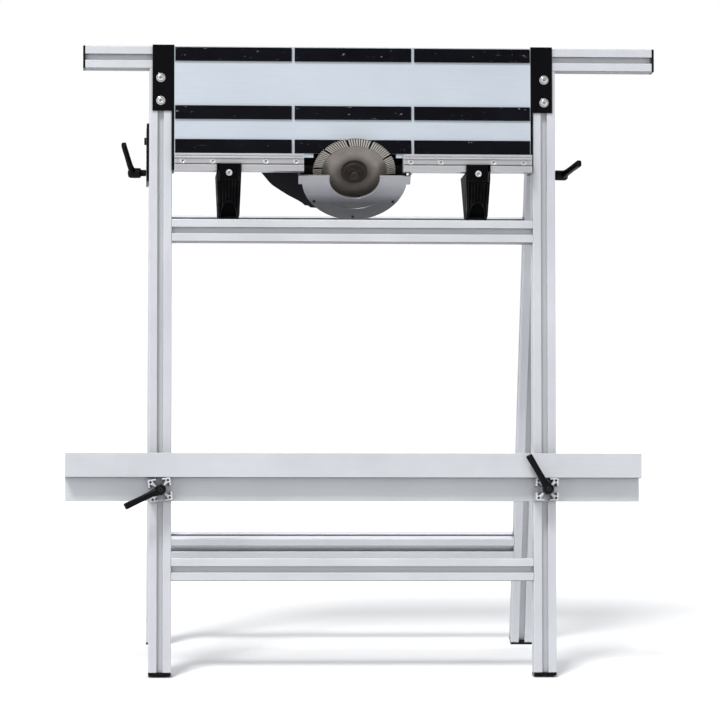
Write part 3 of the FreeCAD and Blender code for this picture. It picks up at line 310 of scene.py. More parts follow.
def blade_material():
    """Ground steel core with turning marks, brown dust towards the hub, and a grainy rim made near black as
    painted shade between the turbo ribs.
    """
    mat, tree, shader = node_tree("blade_steel")
    coord = tree.nodes.new("ShaderNodeTexCoord").outputs["Object"]
    local = tree.nodes.new("ShaderNodeMapping")
    local.vector_type = "TEXTURE"
    centre = SAW.to_translation()
    local.inputs["Location"].default_value = centre
    local.inputs["Rotation"].default_value = SAW.to_3x3().normalized().to_euler()
    wire(tree, coord, local.inputs["Vector"])
    split = tree.nodes.new("ShaderNodeSeparateXYZ")
    wire(tree, local.outputs["Vector"], split.inputs["Vector"])
    flat = tree.nodes.new("ShaderNodeCombineXYZ")
    wire(tree, split.outputs["X"], flat.inputs["X"])
    wire(tree, split.outputs["Y"], flat.inputs["Y"])
    length = tree.nodes.new("ShaderNodeVectorMath")
    length.operation = "LENGTH"
    wire(tree, flat.outputs["Vector"], length.inputs[0])
    radius = length.outputs["Value"]
    rings = tree.nodes.new("ShaderNodeCombineXYZ")
    wire(tree, radius, rings.inputs["X"])
    marks = noise(tree, rings.outputs["Vector"], 1500.0, 3.0)
    dust = noise(tree, coord, 60.0, 6.0, 0.65)
    grit = noise(tree, coord, 1600.0, 3.0, 0.7)
    steel = mix(tree, remap(tree, dust, 0.0, 1.0), (0.27, 0.235, 0.205), (0.40, 0.365, 0.335))
    steel = mix(tree, remap(tree, marks, 0.0, 0.45), steel, (0.11, 0.10, 0.09))
    hub = remap(tree, radius, 0.9, 0.0, 0.017, 0.030)
    steel = mix(tree, hub, steel, (0.075, 0.062, 0.052))
    # Painted shade: the rim under the turbo ribs is near black, for the shade in the gaps between the ribs.
    rim = remap(tree, radius, 0.0, 1.0, 0.0420, 0.0430)
    shaded_rim = mix(tree, remap(tree, grit, 0.0, 1.0, 0.35, 0.65), (0.020, 0.017, 0.014), (0.07, 0.06, 0.05))
    wire(tree, mix(tree, rim, steel, shaded_rim), shader.inputs["Base Color"])
    shader.inputs["Metallic"].default_value = 0.75
    wire(tree, remap(tree, rim, 0.38, 0.62, 0.0, 1.0), shader.inputs["Roughness"])
    relief = tree.nodes.new("ShaderNodeBump")
    relief.inputs["Strength"].default_value = 0.35
    relief.inputs["Distance"].default_value = 0.0002
    wire(tree, grit, relief.inputs["Height"])
    wire(tree, relief.outputs["Normal"], shader.inputs["Normal"])
    return mat


MAT["blade"] = blade_material()
MAT["hub"] = surface("dusty_hub", (0.014, 0.010, 0.008), (0.032, 0.024, 0.019), 0.45, 0.5, 0.08, 700.0,
                     bump=0.3, bump_depth=0.0003, rubbed_and_lit_edge_colour=(0.16, 0.13, 0.11), rubbed_and_lit_edges=0.6)

PAINT = {
    "along_leg": ("front_leg_left", "front_leg_right"),
    "along_rear": ("rear_leg_left", "rear_leg_right"),
    "along_x": ("top_bar", "front_middle_rail", "front_lower_rail", "rear_middle_rail", "rear_lower_rail",
                "tile_ledge", "clamp_blocks"),
    "fence": ("fence_left", "fence_right"),
    "panel": ("tile_panel", "saw_base_plate"),
    "black_steel": ("corner_bracket_left", "corner_bracket_right", "hinge_bracket_left",
                    "hinge_bracket_right", "bevel_brackets"),
    "black_oxide": ("hinge_screws", "pivot_bolts", "guard_screws", "arbor_bolt"),
    "zinc": ("lever_nuts", "bracket_screws", "fence_screws", "support_screws", "base_plate_screws",
             "bearings", "spindle", "spindle_gear", "armature_shaft", "clamp_studs"),
    "plastic": ("front_foot_caps", "rear_foot_caps", "top_bar_caps", "support_bracket_left",
                "support_bracket_right", "brush_caps", "trigger", "lock_button", "side_lever_left",
                "side_lever_right", "ledge_lever_left", "ledge_lever_right"),
    "motor": ("motor_housing", "grip_shell_near", "grip_shell_far", "cooling_fan"),
    "rubber": ("grip_strips",),
    "guard": ("guard_cover",),
    "casting": ("gear_housing",),
    "guard_inside": ("guard_case",),
    "lamination": ("stator", "rotor_core"),
    "carbon": ("carbon_brushes",),
    "seal": ("cord_gland",),
    "blade": ("diamond_blade",),
    "hub": ("blade_flanges",),
}
for key, names in PAINT.items():
    for name in names:
        mesh = nodes[name].data
        mesh.materials.clear()
        mesh.materials.append(MAT[key])


# ---------------------------------------------------------------- mesh builders
def mesh_object(name, bm):
    mesh = bpy.data.meshes.new(name)
    bm.to_mesh(mesh)
    bm.free()
    obj = bpy.data.objects.new(name, mesh)
    bpy.context.scene.collection.objects.link(obj)
    return obj


def finish_mesh(name, bm, matrix, material, body, smooth_angle=32.0):
    """Visible piece on a body, smooth below the given angle between faces."""
    bmesh.ops.remove_doubles(bm, verts=bm.verts, dist=1e-4)
    bmesh.ops.recalc_face_normals(bm, faces=bm.faces)
    bm.transform(matrix)
    if matrix.determinant() < 0:
        bmesh.ops.reverse_faces(bm, faces=bm.faces)
    obj = mesh_object(name, bm)
    mesh = obj.data
    mesh.materials.append(MAT[material])
    mesh.polygons.foreach_set("use_smooth", [True] * len(mesh.polygons))
    mesh.set_sharp_from_angle(angle=math.radians(smooth_angle))
    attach(obj, body)
    return obj


def bridge(bm, loops):
    """Faces between each closed loop and the next."""
    for a, b in zip(loops, loops[1:]):
        for i in range(len(a)):
            j = (i + 1) % len(a)
            bm.faces.new((a[i], a[j], b[j], b[i]))


def cap_ends(bm, loops):
    bm.faces.new(loops[0][::-1])
    bm.faces.new(loops[-1])


def add_prism(bm, outline, low, high, bevel=0.0, ends=(True, True), segments=3):
    """Extrudes an outline along z; bevels its edges, but not those round an end that is left out."""
    bottom = [bm.verts.new((x, y, low)) for x, y in outline]
    top = [bm.verts.new((x, y, high)) for x, y in outline]
    cap_ends(bm, (bottom, top))
    bridge(bm, (bottom, top))
    if bevel:
        edges = []
        for i in range(len(outline)):
            for loop, bevelled in ((bottom, ends[0]), (top, ends[1])):
                if bevelled:
                    edges.append(bm.edges.get((loop[i], loop[(i + 1) % len(outline)])))
        bmesh.ops.bevel(bm, geom=edges, offset=bevel, segments=segments, profile=0.5, affect="EDGES",
                        clamp_overlap=True)


def add_rails(bm, rails):
    """Bar whose long edges run through the given rows of points; both its ends are capped."""
    for a, b in zip(rails, rails[1:] + rails[:1]):
        for i in range(len(a) - 1):
            bm.faces.new((a[i], a[i + 1], b[i + 1], b[i]))
    bm.faces.new([rail[0] for rail in rails])
    bm.faces.new([rail[-1] for rail in reversed(rails)])


def join(bm, piece):
    """Adds a piece to a mesh that is still being built."""
    copy = bpy.data.meshes.new("piece")
    piece.to_mesh(copy)
    piece.free()
    bm.from_mesh(copy)
    bpy.data.meshes.remove(copy)


def ring_radius(kind, radius, angle):
    """Radius at an angle of a round ring, or of a hexagon whose flats are at that radius."""
    if kind == "round":
        return radius
    sixth = math.pi / 3
    return radius / math.cos((angle % sixth) - sixth / 2)


def add_turned(bm, rings, steps=48, centre=(0.0, 0.0), close=True):
    """Surface through rings of (kind, radius, z); the first and last are capped."""
    loops = []
    for kind, radius, z in rings:
        loop = []
        for i in range(steps):
            angle = 2 * math.pi * i / steps
            r = ring_radius(kind, radius, angle)
            loop.append(bm.verts.new((centre[0] + r * math.cos(angle), centre[1] + r * math.sin(angle), z)))
        loops.append(loop)
    bridge(bm, loops)
    if close:
        cap_ends(bm, loops)


def screw_rings(radius, height, socket, depth):
    """Button head on z = 0 with a hexagon socket."""
    straight, dome = 0.35, 0.38
    rings = [("round", radius, 0.0), ("round", radius, height * straight)]
    for k in range(1, 5):
        turn = math.pi / 2 * k / 5
        rings.append(("round", radius * (1 - dome + dome * math.cos(turn)),
                      height * (straight + (1 - straight) * math.sin(turn))))
    rings += [("round", socket * 1.25, height), ("hex", socket, height - 0.15),
              ("hex", socket, height - depth)]
    return rings


def screws(name, places, body, material, rings, washer=None):
    """One piece with a screw, and its washer if it has one, at each place."""
    bm = bmesh.new()
    for matrix in places:
        one = bmesh.new()
        add_turned(one, rings)
        if washer:
            add_turned(one, [("round", washer, 0.02), ("round", washer, 0.75), ("round", washer - 0.25, 1.0),
                             ("round", washer * 0.6, 1.0)])
        one.transform(matrix)
        join(bm, one)
    return finish_mesh(name, bm, Matrix.Identity(4), material, body)


def carve(obj, cutter):
    """Cuts cutter out of obj for good."""
    boolean = obj.modifiers.new("cut", "BOOLEAN")
    boolean.operation = "DIFFERENCE"
    boolean.solver = "EXACT"
    boolean.object = cutter
    bpy.context.view_layer.update()
    graph = bpy.context.evaluated_depsgraph_get()
    result = bpy.data.meshes.new_from_object(obj.evaluated_get(graph))
    obj.modifiers.clear()
    old = obj.data
    obj.data = result
    bpy.data.meshes.remove(old)
    bpy.data.objects.remove(cutter)


def cutting_tool(name, bm, matrix):
    """Object that carve() uses up."""
    bmesh.ops.recalc_face_normals(bm, faces=bm.faces)
    bm.transform(matrix)
    return mesh_object(name, bm)


# ---------------------------------------------------------------- clamping levers
def add_arm(bm, stations, steps=28):
    """Arm along +x through stations of (x, z, half width, half height, squareness)."""
    lean = 0.22
    loops = []
    for x, z, half_width, half_height, power in stations:
        loop = []
        for i in range(steps):
            angle = 2 * math.pi * i / steps
            c, s = math.cos(angle), math.sin(angle)
            y = half_width * math.copysign(abs(c) ** power, c)
            lift = half_height * math.copysign(abs(s) ** power, s)
            loop.append(bm.verts.new((x - lift * lean, y, z + lift)))
        loops.append(loop)
    bridge(bm, loops)
    cap_ends(bm, loops)


def lever(name, node, joint, arm_towards, body, collar, hub_start, hub_end, hub_radius, reach, rise):
    """Ratchet lever about its joint: collar, hub with a chamfered end, arm and the hub's screw."""
    axis = joints[joint]
    matrix = place(Vector(axis["pos_m"]), turned_about(axis["axis"], arm_towards))
    neck, chamfer, screw_radius = 4.5, 1.6, 3.2
    bm = bmesh.new()
    add_turned(bm, [("round", neck - 0.2, collar), ("round", neck, collar + 0.3), ("round", neck, hub_start)])
    add_turned(bm, [("round", hub_radius - 0.6, hub_start), ("round", hub_radius, hub_start + 0.7),
                    ("round", hub_radius, hub_end - 3.2), ("round", hub_radius - chamfer, hub_end - 0.5),
                    ("round", hub_radius - chamfer - 0.5, hub_end), ("round", 3.4, hub_end)])
    top = hub_end - 5.2
    add_arm(bm, [(0, top, hub_radius - 0.6, 4.3, 0.8), (hub_radius, top + 0.8, hub_radius - 1.9, 4.1, 0.8),
                 (hub_radius * 1.7, top + rise * 0.22, 4.4, 3.8, 0.65),
                 (reach * 0.6, top + rise * 0.58, 4.1, 3.5, 0.55),
                 (reach * 0.97, top + rise * 0.98, 4.4, 3.5, 0.45),
                 (reach + 1.6, top + rise * 1.03, 4.3, 3.3, 0.45),
                 (reach + 2.2, top + rise * 1.03 + 0.1, 3.6, 2.7, 0.5)])
    obj = finish_mesh(name, bm, matrix, "plastic", body, 40)
    remesh = obj.modifiers.new("blend", "REMESH")
    remesh.mode = "VOXEL"
    remesh.voxel_size = 0.00055
    remesh.use_smooth_shade = True
    soften = obj.modifiers.new("soften", "CORRECTIVE_SMOOTH")
    soften.factor = 0.6
    soften.iterations = 4
    soften.use_only_smooth = True
    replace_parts(obj, node)
    screw = bmesh.new()
    add_turned(screw, [("round", screw_radius, hub_end - 1.0), ("round", screw_radius, hub_end + 0.1),
                       ("round", 2.6, hub_end + 0.5), ("round", 1.7, hub_end + 0.5),
                       ("hex", 1.25, hub_end + 0.4), ("hex", 1.25, hub_end - 0.6)], 36)
    finish_mesh(name + "_screw", screw, matrix, "black_oxide", body)
    return matrix


def front_direction(forward):
    """Direction of a side lever's arm, in degrees forward of straight up the leg."""
    turn = math.radians(forward)
    return up * math.cos(turn) - back * math.sin(turn)


def face_direction(angle):
    """Direction of a ledge lever's arm, in degrees from the right."""
    turn = math.radians(angle)
    return Vector((math.cos(turn), 0, 0)) + up * math.sin(turn)


side_matrices = []
for side, forward, rise in (("left", 44.0, 11.0), ("right", 76.0, 15.5)):
    side_matrices.append(lever(f"{side}_clamp_lever", f"side_lever_{side}", f"{side}_side_lever_turn",
                               front_direction(forward), f"{side}_side_lever", collar=0.35, hub_start=7.5,
                               hub_end=24.5, hub_radius=7.0, reach=47.0, rise=rise))
for side, angle in (("left", 206.0), ("right", 121.0)):
    lever(f"{side}_ledge_clamp", f"ledge_lever_{side}", f"{side}_ledge_lever_turn", face_direction(angle),
          f"{side}_ledge_lever", collar=0.1, hub_start=2.5, hub_end=18.0, hub_radius=7.5, reach=49.5,
          rise=5.0)
for side, matrix in zip(("left", "right"), side_matrices):
    stud = bmesh.new()
    add_turned(stud, [("round", 3.3, -14.6), ("round", 3.0, -14.3), ("round", 3.0, 0.5)], 32)
    finish_mesh(f"{side}_clamp_stud", stud, matrix, "zinc", f"{side}_side_lever")

# ---------------------------------------------------------------- screws
bracket_places = [in_front(x, z, PLATE) for x in (-LEG_X, LEG_X) for z in BRACKET_SCREW_UP]
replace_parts(screws("bracket_button_screws", bracket_places, "front_frame", "zinc",
                   [("round", 3.0, -7.0)] + screw_rings(4.6, 3.4, 2.0, 2.2), washer=6.0), "bracket_screws")
fence_places = [in_front(side * x, FENCE_SCREW_UP, FENCE_OUT) for side in (-1, 1) for x in FENCE_SCREW_X]
countersunk = [("round", 1.9, -21.0), ("round", 1.9, -3.0), ("round", 4.0, -0.3), ("round", 4.0, 0.1),
               ("round", 3.6, 0.3), ("round", 2.0, 0.3), ("hex", 1.55, 0.15), ("hex", 1.5, -1.5)]
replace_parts(screws("fence_countersunk_screws", fence_places, "front_frame", "zinc",
                   countersunk), "fence_screws")
support_places = [in_front(x, GUSSET_SCREW_UP, GUSSET_OUT) for x in (-GUSSET_X, GUSSET_X)]
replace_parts(screws("support_cap_screws", support_places, "front_frame", "zinc",
                   [("round", 2.5, -4.8), ("round", 2.5, 0.0), ("round", 4.3, 0.0), ("round", 4.3, 2.5),
                    ("round", 3.9, 3.0), ("round", 2.5, 3.0), ("hex", 2.0, 2.8), ("hex", 2.0, 0.9)]),
            "support_screws")


# ---------------------------------------------------------------- support brackets
def support_bracket(side, centre):
    """Moulded gusset: two tapering cheeks, a ribbed sloping web, an arched recess over the foot."""
    local = FRONT @ SIDEWAYS
    front, foot, deck, knee = -42.5, 600.5, 661.3, 650.0
    head_top, cheek_out, cheek_thick, inside, rib_half, rib_top = 671.3, 15.6, 3.0, 13.5, 0.8, 647.0

    def slope(z):
        """Place of the sloping front at height z."""
        return front + (z - knee) * (-15.2 - front) / (foot - knee)

    def narrowed(bm):
        """Narrows the moulding towards its foot and rounds the foot's corners."""
        for vert in bm.verts:
            up_share = min(1.0, max(0.0, (vert.co.y - foot) / (deck - foot)))
            foot_share = min(1.0, (vert.co.y - foot) / 5.0) if vert.co.y > foot else 0.0
            vert.co.z = centre + (vert.co.z - centre) * (0.93 + 0.11 * up_share) * (0.90 + 0.10 * foot_share)
        return bm

    bm = bmesh.new()
    cheek = [(front + 0.2, head_top), (front + 0.2, deck), (47.0, deck), (15.2, foot + 5.0), (13.0, foot),
             (-15.2, foot), (slope(foot + 5.0), foot + 5.0), (front, knee)]
    for x in (centre - cheek_out, centre + cheek_out - cheek_thick):
        add_prism(bm, cheek, x, x + cheek_thick, 0.5, segments=2)
    head = [(front + 0.2, head_top - 0.2), (front + 0.2, knee - 1.0), (front + 3.5, knee - 1.0),
            (front + 3.5, head_top - 0.2)]
    add_prism(bm, head, centre - 15.0, centre + 15.0, 0.4, segments=1)
    shelf = [(front + 1.0, deck - 0.1), (front + 1.0, deck - 3.3), (44.0, deck - 3.3), (46.0, deck - 0.1)]
    add_prism(bm, shelf, centre - inside, centre + inside)
    sole = [(-14.5, foot + 2.5), (-14.5, foot), (12.5, foot), (14.0, foot + 2.5)]
    add_prism(bm, sole, centre - inside, centre + inside)
    inner_web = [(front + 12.0, knee), (-6.0, foot), (-3.0, foot), (front + 15.0, knee)]
    add_prism(bm, inner_web, centre - inside, centre + inside)
    for shift, low in ((-8.2, 615.0), (-4.4, 623.5), (0.0, 627.0), (4.4, 623.5), (8.2, 615.0)):
        rib = [(slope(low) - 0.4, low), (slope(low) + 3.0, low), (slope(rib_top) + 3.0, rib_top),
               (slope(rib_top) - 0.4, rib_top)]
        add_prism(bm, rib, centre + shift - rib_half, centre + shift + rib_half, 0.3, segments=1)
    obj = finish_mesh(f"gusset_{side}", narrowed(bm), local, "gusset", "front_frame")
    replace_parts(obj, f"support_bracket_{side}")
    web = bmesh.new()
    sheet = [(front + 1.6, knee), (slope(foot) + 1.6, foot), (slope(foot) + 4.6, foot), (front + 4.6, knee)]
    add_prism(web, sheet, centre - inside, centre + inside)
    web_obj = finish_mesh(f"gusset_web_{side}", narrowed(web), local, "gusset", "front_frame")
    steps = 20
    outer, inner, spring, stretch = 11.4, 10.2, 604.0, 1.7
    mouth = bmesh.new()
    arc = [(math.pi * i / steps) for i in range(steps + 1)]
    outline = ([(centre + inner * math.cos(a), spring + inner * stretch * math.sin(a)) for a in arc]
               + [(centre - inner, foot - 4.0), (centre + inner, foot - 4.0)])
    add_prism(mouth, outline, 4.0, 50.0)
    carve(web_obj, cutting_tool("mouth", mouth, FRONT @ OUT))
    arch = bmesh.new()
    rails = [[], [], [], []]
    for angle in arc:
        for k, (radius, sink) in enumerate(((outer, -0.6), (outer, 9.0), (inner, 9.0), (inner, -0.6))):
            z = spring + radius * stretch * math.sin(angle)
            rails[k].append(arch.verts.new((slope(z) + sink, z, centre + radius * math.cos(angle))))
    add_rails(arch, rails)
    finish_mesh(f"gusset_arch_{side}", arch, local, "gusset", "front_frame")


support_bracket("left", -GUSSET_X)
support_bracket("right", GUSSET_X)


# ---------------------------------------------------------------- saw
BOX_FACES = ((0, 3, 2, 1), (4, 5, 6, 7), (0, 1, 5, 4), (1, 2, 6, 5), (2, 3, 7, 6), (3, 0, 4, 7))


def diamond_blade():
    """Thin core and dark rim, slotted every 36 degrees, with slanted turbo ribs on both sides of the rim."""
    segments, ribs_each = 10, 9
    bore_radius, rib_inner, rim_radius = 10.0, 43.2, 55.0
    core_half, rim_half, rib_half = 0.75, 0.85, 1.2
    first_slot = math.radians(-66.0)
    pitch = 2 * math.pi / segments
    slot = math.radians(1.3)
    bm = bmesh.new()

    def ring_point(radius, angle, z):
        return bm.verts.new((radius * math.cos(angle), radius * math.sin(angle), z))

    steps = 180
    rings = [[ring_point(radius, 2 * math.pi * i / steps, z) for i in range(steps)]
             for radius, z in ((bore_radius, -core_half), (rib_inner, -core_half), (rib_inner, core_half),
                               (bore_radius, core_half))]
    bridge(bm, rings + rings[:1])
    for k in range(segments):
        start, end = first_slot + k * pitch + slot, first_slot + (k + 1) * pitch - slot
        arc = 16
        loops = []
        for i in range(arc + 1):
            angle = start + (end - start) * i / arc
            loops.append([ring_point(radius, angle, z) for radius, z in
                          ((rib_inner - 0.5, -rim_half), (rim_radius - 0.4, -rim_half),
                           (rim_radius - 0.4, rim_half), (rib_inner - 0.5, rim_half))])
        bridge(bm, loops)
        cap_ends(bm, loops)
    blade = finish_mesh("turbo_blade", bm, SAW, "blade", "blade_spindle", 25)
    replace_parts(blade, "diamond_blade")

    bm = bmesh.new()
    share = (pitch - 2 * slot) / ribs_each
    rib_share = 0.56
    for k in range(segments):
        for i in range(ribs_each):
            start = first_slot + k * pitch + slot + share * (i + 0.22)
            for side in (-1, 1):
                corners = []
                for z in (side * (rim_half - 0.05), side * rib_half):
                    for radius, along in ((rib_inner, 0.0), (rim_radius, 0.0), (rim_radius, rib_share),
                                          (rib_inner, rib_share)):
                        slant = side * 0.5 * share * (radius - rib_inner) / (rim_radius - rib_inner)
                        angle = start + share * along + slant - side * 0.25 * share
                        corners.append(ring_point(radius, angle, z))
                for face in BOX_FACES:
                    bm.faces.new([corners[c] for c in face])
    finish_mesh("turbo_ribs", bm, SAW, "rib", "blade_spindle", 25)


def blade_clamp():
    """Outer flange with its recess, the hexagon bolt and its washer."""
    bm = bmesh.new()
    outer = [(4.2, -5.3), (9.0, -5.3), (9.6, -4.4), (12.0, -4.4), (13.0, -5.3), (16.2, -5.3), (17.0, -4.4),
             (17.0, -1.6), (16.0, -1.0)]
    inner = [(16.0, 0.9), (17.0, 1.3), (17.0, 4.4), (16.4, 4.8)]
    for section in (outer, inner):
        add_turned(bm, [("round", radius, z) for radius, z in section], 64)
    obj = finish_mesh("flange_pair", bm, SAW, "hub", "blade_spindle")
    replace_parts(obj, "blade_flanges")
    bm = bmesh.new()
    add_turned(bm, [("round", 8.6, -5.3), ("round", 9.0, -5.6), ("round", 9.0, -6.6), ("round", 8.6, -6.8),
                    ("hex", 6.5, -6.8), ("hex", 6.5, -11.2), ("round", 6.2, -12.0), ("round", 3.2, -12.0),
                    ("round", 3.0, -11.6)][::-1], 48)
    obj = finish_mesh("arbor_hex_bolt", bm, SAW, "hub", "blade_spindle")
    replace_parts(obj, "arbor_bolt")


def guard_arc():
    """Raised arc on the guard's face, tapering to both ends."""
    radius, half_width, half_angle, steps = 51.0, 1.0, 40.0, 48
    bm = bmesh.new()
    rails = [[], [], [], []]
    for i in range(steps + 1):
        angle = math.radians(90 - half_angle + 2 * half_angle * i / steps)
        taper = math.sin(math.pi * (i + 0.5) / (steps + 1)) ** 0.35
        for k, (outwards, lift) in enumerate(((-1, 0.2), (-0.4, -0.9), (0.4, -0.9), (1, 0.2))):
            r = radius + outwards * half_width * taper
            z = GUARD_FRONT + lift * taper
            rails[k].append(bm.verts.new((r * math.cos(angle), r * math.sin(angle), z)))
    add_rails(bm, rails)
    finish_mesh("guard_arc", bm, SAW, "guard", "front_frame")


diamond_blade()
blade_clamp()
guard_arc()


# ---------------------------------------------------------------- grip
GRIP = [(-96.0, -10.0), (-44.0, 36.0), (-35.0, 62.0), (30.0, 64.0), (36.0, 72.0), (24.0, 81.0), (-50.0, 82.0),
        (-60.0, 80.5), (-67.5, 72.0), (-87.5, 59.0), (-109.0, 41.5), (-126.0, 16.0)]
GRIP_NEAR, GRIP_SEAM, GRIP_FAR, GRIP_GAP = 22.0, 40.0, 58.0, 0.15


def eased(outline, radius, steps=4):
    """Outline with each corner rounded by a small curve."""
    points = [Vector(p) for p in outline]
    result = []
    for i, p in enumerate(points):
        a, b = points[i - 1], points[(i + 1) % len(points)]
        start = p + (a - p).normalized() * min(radius, (a - p).length * 0.45)
        end = p + (b - p).normalized() * min(radius, (b - p).length * 0.45)
        for k in range(steps + 1):
            t = k / steps
            q = start * (1 - t) ** 2 + p * 2 * t * (1 - t) + end * t * t
            result.append((q.x, q.y))
    return result


def grip_shells():
    """Two halves that meet at a seam, with the trigger's well and the motor's barrel cut out."""
    start = Vector(GRIP[0])
    along = (Vector(GRIP[1]) - start).normalized()
    inward = Vector((-along.y, along.x))
    well_from, well_to, well_out, well_deep, well_half = 24.5, 53.5, -9.0, 17.0, 6.7
    for name, node, low, high, ends in (
            ("grip_half_near", "grip_shell_near", GRIP_NEAR, GRIP_SEAM - GRIP_GAP, (True, False)),
            ("grip_half_far", "grip_shell_far", GRIP_SEAM + GRIP_GAP, GRIP_FAR, (False, True))):
        bm = bmesh.new()
        add_prism(bm, eased(GRIP, 6.0), low, high, 5.0, ends, 5)
        obj = finish_mesh(name, bm, SAW, "motor", "front_frame", 40)
        well = bmesh.new()
        corners = [start + along * a + inward * d for a, d in
                   ((well_from, well_out), (well_to, well_out), (well_to, well_deep), (well_from, well_deep))]
        add_prism(well, [(c.x, c.y) for c in corners], GRIP_SEAM - well_half, GRIP_SEAM + well_half)
        carve(obj, cutting_tool("well", well, SAW))
        barrel = bmesh.new()
        barrel_radius = MOTOR_RADIUS - 0.4
        add_turned(barrel, [("round", barrel_radius, 10.0), ("round", barrel_radius, 70.0)], 96,
                   (0.0, GEAR_PITCH))
        carve(obj, cutting_tool("barrel", barrel, SAW))
        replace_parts(obj, node)


grip_shells()


# ---------------------------------------------------------------- motor and screws at the back
def across_motor(side):
    """Frame at the brushes, in the saw's frame, with z out of one side of the motor."""
    return Matrix.Translation((0, GEAR_PITCH, BRUSH_UP)) @ Matrix.Rotation(math.radians(90 * side), 4, "Y")


def motor_shell():
    """Moulded barrel with seams, a stepped end cap, vents all round and bores for the brush caps."""
    r, end = MOTOR_RADIUS, MOTOR_END
    outside = [(11.0, 40.0), (r - 0.6, 40.0), (r, 40.6), (r, 47.0), (r - 0.9, 47.6), (r - 0.9, 48.8),
               (r, 49.4), (r, 98.0), (r - 0.9, 98.6), (r - 0.9, 99.8), (r, 100.4), (r, end - 13.0),
               (r - 1.2, end - 9.5), (r - 4.0, end - 5.0), (r - 8.0, end - 2.0), (r - 12.0, end - 1.0),
               (r - 13.0, end - 2.0),
               (r - 16.0, end - 2.0), (r - 17.0, end), (0.001, end)]
    inside = [(0.001, end - 3.0), (11.0, end - 3.0), (11.0, end - 4.0), (r - 16.0, end - 5.0),
              (r - 8.0, end - 8.0), (r - 5.0, end - 12.0), (r - 3.0, end - 14.0), (r - 3.0, 51.0),
              (11.0, 51.0), (11.0, 40.0)]
    bm = bmesh.new()
    add_turned(bm, [("round", radius, z) for radius, z in outside + inside], 96, (0.0, GEAR_PITCH),
               close=False)
    obj = finish_mesh("motor_shell", bm, SAW, "motor", "front_frame", 30)
    vents = bmesh.new()
    vent_count, vent_half = 12, 2.0
    for i in range(vent_count):
        turn = 2 * math.pi * i / vent_count
        across = Vector((-math.sin(turn), math.cos(turn)))
        outwards = Vector((math.cos(turn), math.sin(turn)))
        corners = [Vector((0.0, GEAR_PITCH)) + outwards * o + across * a
                   for o, a in ((r - 8.0, -vent_half), (r + 4.0, -vent_half),
                                (r + 4.0, vent_half), (r - 8.0, vent_half))]
        add_prism(vents, [(c.x, c.y) for c in corners], end - 32.0, end - 16.0)
    carve(obj, cutting_tool("vents", vents, SAW))
    for side in (-1, 1):
        bore = bmesh.new()
        add_turned(bore, [("round", 6.2, r - 9.0), ("round", 6.2, r + 4.0)], 48)
        carve(obj, cutting_tool("bore", bore, SAW @ across_motor(side)))
    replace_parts(obj, "motor_housing")


def motor_screws():
    """Four screws in the stepped end cap, and caps with a hexagon socket over the brushes."""
    places = []
    circle, sunk = 29.0, 3.4
    for angle in (45, 135, 225, 315):
        turn = math.radians(angle)
        places.append(SAW @ Matrix.Translation((circle * math.cos(turn), GEAR_PITCH + circle * math.sin(turn),
                                                MOTOR_END - sunk)))
    screws("motor_cap_screws", places, "front_frame", "black_oxide",
           [("round", 3.6, -1.5)] + screw_rings(3.4, 2.2, 1.5, 1.4))
    bm = bmesh.new()
    low, high = MOTOR_RADIUS - 4.0, MOTOR_RADIUS + 1.0
    for side in (-1, 1):
        cap = bmesh.new()
        add_turned(cap, [("round", 6.0, low), ("round", 6.0, high - 0.6), ("round", 5.4, high),
                         ("round", 4.4, high), ("hex", 2.6, high - 0.1), ("hex", 2.6, high - 1.8)], 48)
        cap.transform(across_motor(side))
        join(bm, cap)
    caps = finish_mesh("brush_cap_pair", bm, SAW, "plastic", "front_frame")
    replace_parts(caps, "brush_caps")


def frame_screws():
    """Socket-headed screws of the hinge plates and the saw's base plate."""
    hinge_places = [FRONT @ Matrix.Translation((x, PLATE - FACE, z)) @ BEHIND
                    for x in (-LEG_X, LEG_X) for z in HINGE_SCREW_UP]
    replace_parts(screws("hinge_button_screws", hinge_places, "front_frame", "black_oxide",
                       [("round", 3.0, -7.0)] + screw_rings(5.4, 3.0, 2.2, 2.0)), "hinge_screws")
    plate_places = [FRONT @ Matrix.Translation((x, FACE + PLATE, z)) @ BEHIND
                    for x in BASE_SCREW_X for z in BASE_SCREW_UP]
    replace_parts(screws("base_button_screws", plate_places, "front_frame", "zinc",
                       [("round", 2.5, -3.0)] + screw_rings(4.5, 3.0, 1.8, 1.8)), "base_plate_screws")


motor_shell()
motor_screws()
frame_screws()


# ---------------------------------------------------------------- floor, light, camera
def floor():
    """Plain pale paper."""
    bm = bmesh.new()
    size = 40.0
    corners = ((-1, -1), (1, -1), (1, 1), (-1, 1))
    bm.faces.new([bm.verts.new((x * size, y * size, 0)) for x, y in corners])
    obj = mesh_object("floor", bm)
    mat, tree, shader = node_tree("floor_paper")
    coord = tree.nodes.new("ShaderNodeTexCoord").outputs["Object"]
    tone = mix(tree, noise(tree, coord, 0.8), (0.965, 0.965, 0.965), (0.98, 0.98, 0.98))
    wire(tree, tone, shader.inputs["Base Color"])
    shader.inputs["Roughness"].default_value = 0.9
    shader.inputs["Specular IOR Level"].default_value = 0.1
    obj.data.materials.append(mat)


def area_light(name, location, target, size, power):
    light = bpy.data.lights.new(name, "AREA")
    light.shape = "RECTANGLE"
    light.size, light.size_y = size
    light.energy = power
    obj = bpy.data.objects.new(name, light)
    obj.location = location
    direction = Vector(target) - Vector(location)
    obj.rotation_euler = direction.to_track_quat("-Z", "Y").to_euler()
    bpy.context.scene.collection.objects.link(obj)


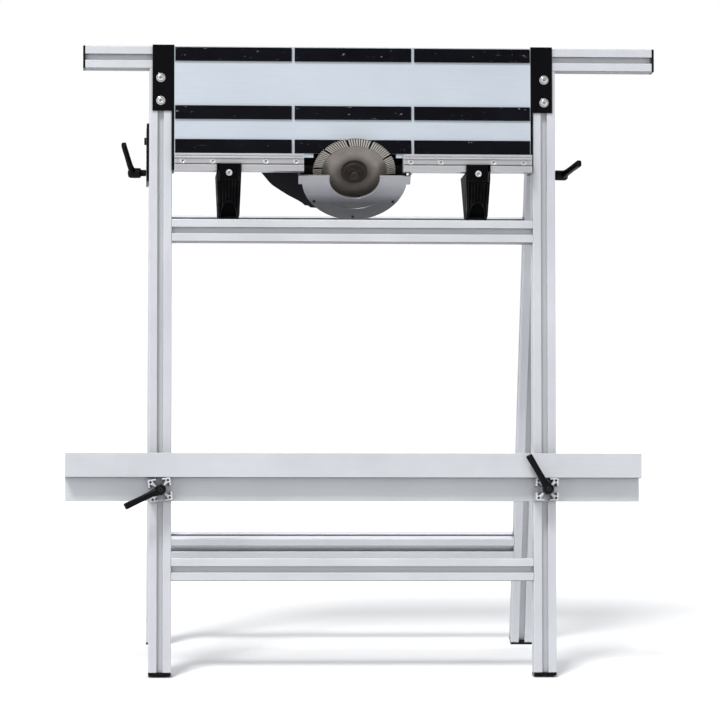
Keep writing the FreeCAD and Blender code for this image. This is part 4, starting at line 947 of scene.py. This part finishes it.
def sun(towards, strength, spread):
    """Large soft light, the same over the whole floor."""
    light = bpy.data.lights.new("sky_panel", "SUN")
    light.energy = strength
    light.angle = math.radians(spread)
    obj = bpy.data.objects.new("sky_panel", light)
    obj.rotation_euler = (-Vector(towards)).to_track_quat("-Z", "Y").to_euler()
    bpy.context.scene.collection.objects.link(obj)


def world():
    """White round the horizon, dimmer overhead, so that dark pieces keep their depth."""
    scene_world = bpy.data.worlds.new("studio")
    scene_world.use_nodes = True
    tree = scene_world.node_tree
    background = tree.nodes["Background"]
    direction = tree.nodes.new("ShaderNodeTexCoord").outputs["Generated"]
    overhead = remap(tree, height_of(tree, direction), 0.0, 1.0, 0.10, 0.42)
    wire(tree, mix(tree, overhead, (1.0, 1.0, 1.0), (0.50, 0.51, 0.53)), background.inputs["Color"])
    background.inputs["Strength"].default_value = 1.0
    bpy.context.scene.world = scene_world
    bpy.context.scene.view_settings.view_transform = "Standard"


def camera():
    """Long lens at chest height, a little left of the middle, looking slightly down."""
    place_m, lens_mm = (-0.3428, -5.8372, 0.8206), 217.05
    yaw, pitch, roll = math.radians(3.405), math.radians(4.028), math.radians(0.413)
    forward = Vector((math.sin(yaw) * math.cos(pitch), math.cos(yaw) * math.cos(pitch), -math.sin(pitch)))
    level = Vector((math.cos(yaw), -math.sin(yaw), 0.0))
    upward = level.cross(forward)
    right = level * math.cos(roll) + upward * math.sin(roll)
    top = upward * math.cos(roll) - level * math.sin(roll)
    data = bpy.data.cameras.new("camera")
    data.lens = lens_mm
    data.sensor_width = 36.0
    data.clip_end = 200.0
    obj = bpy.data.objects.new("camera", data)
    obj.matrix_world = Matrix.Translation(place_m) @ axes(right, top, -forward).to_4x4()
    bpy.context.scene.collection.objects.link(obj)
    bpy.context.scene.camera = obj


floor()
world()
sun((-0.42, -1.0, 1.20), 2.35, 15.0)
area_light("front_left", (-2.2, -2.8, 1.9), (0, 0, 0.5), (1.6, 2.2), 16.0)
area_light("back", (0.6, 2.8, 2.6), (0, 0, 0.5), (2.6, 1.6), 26.0)
camera()
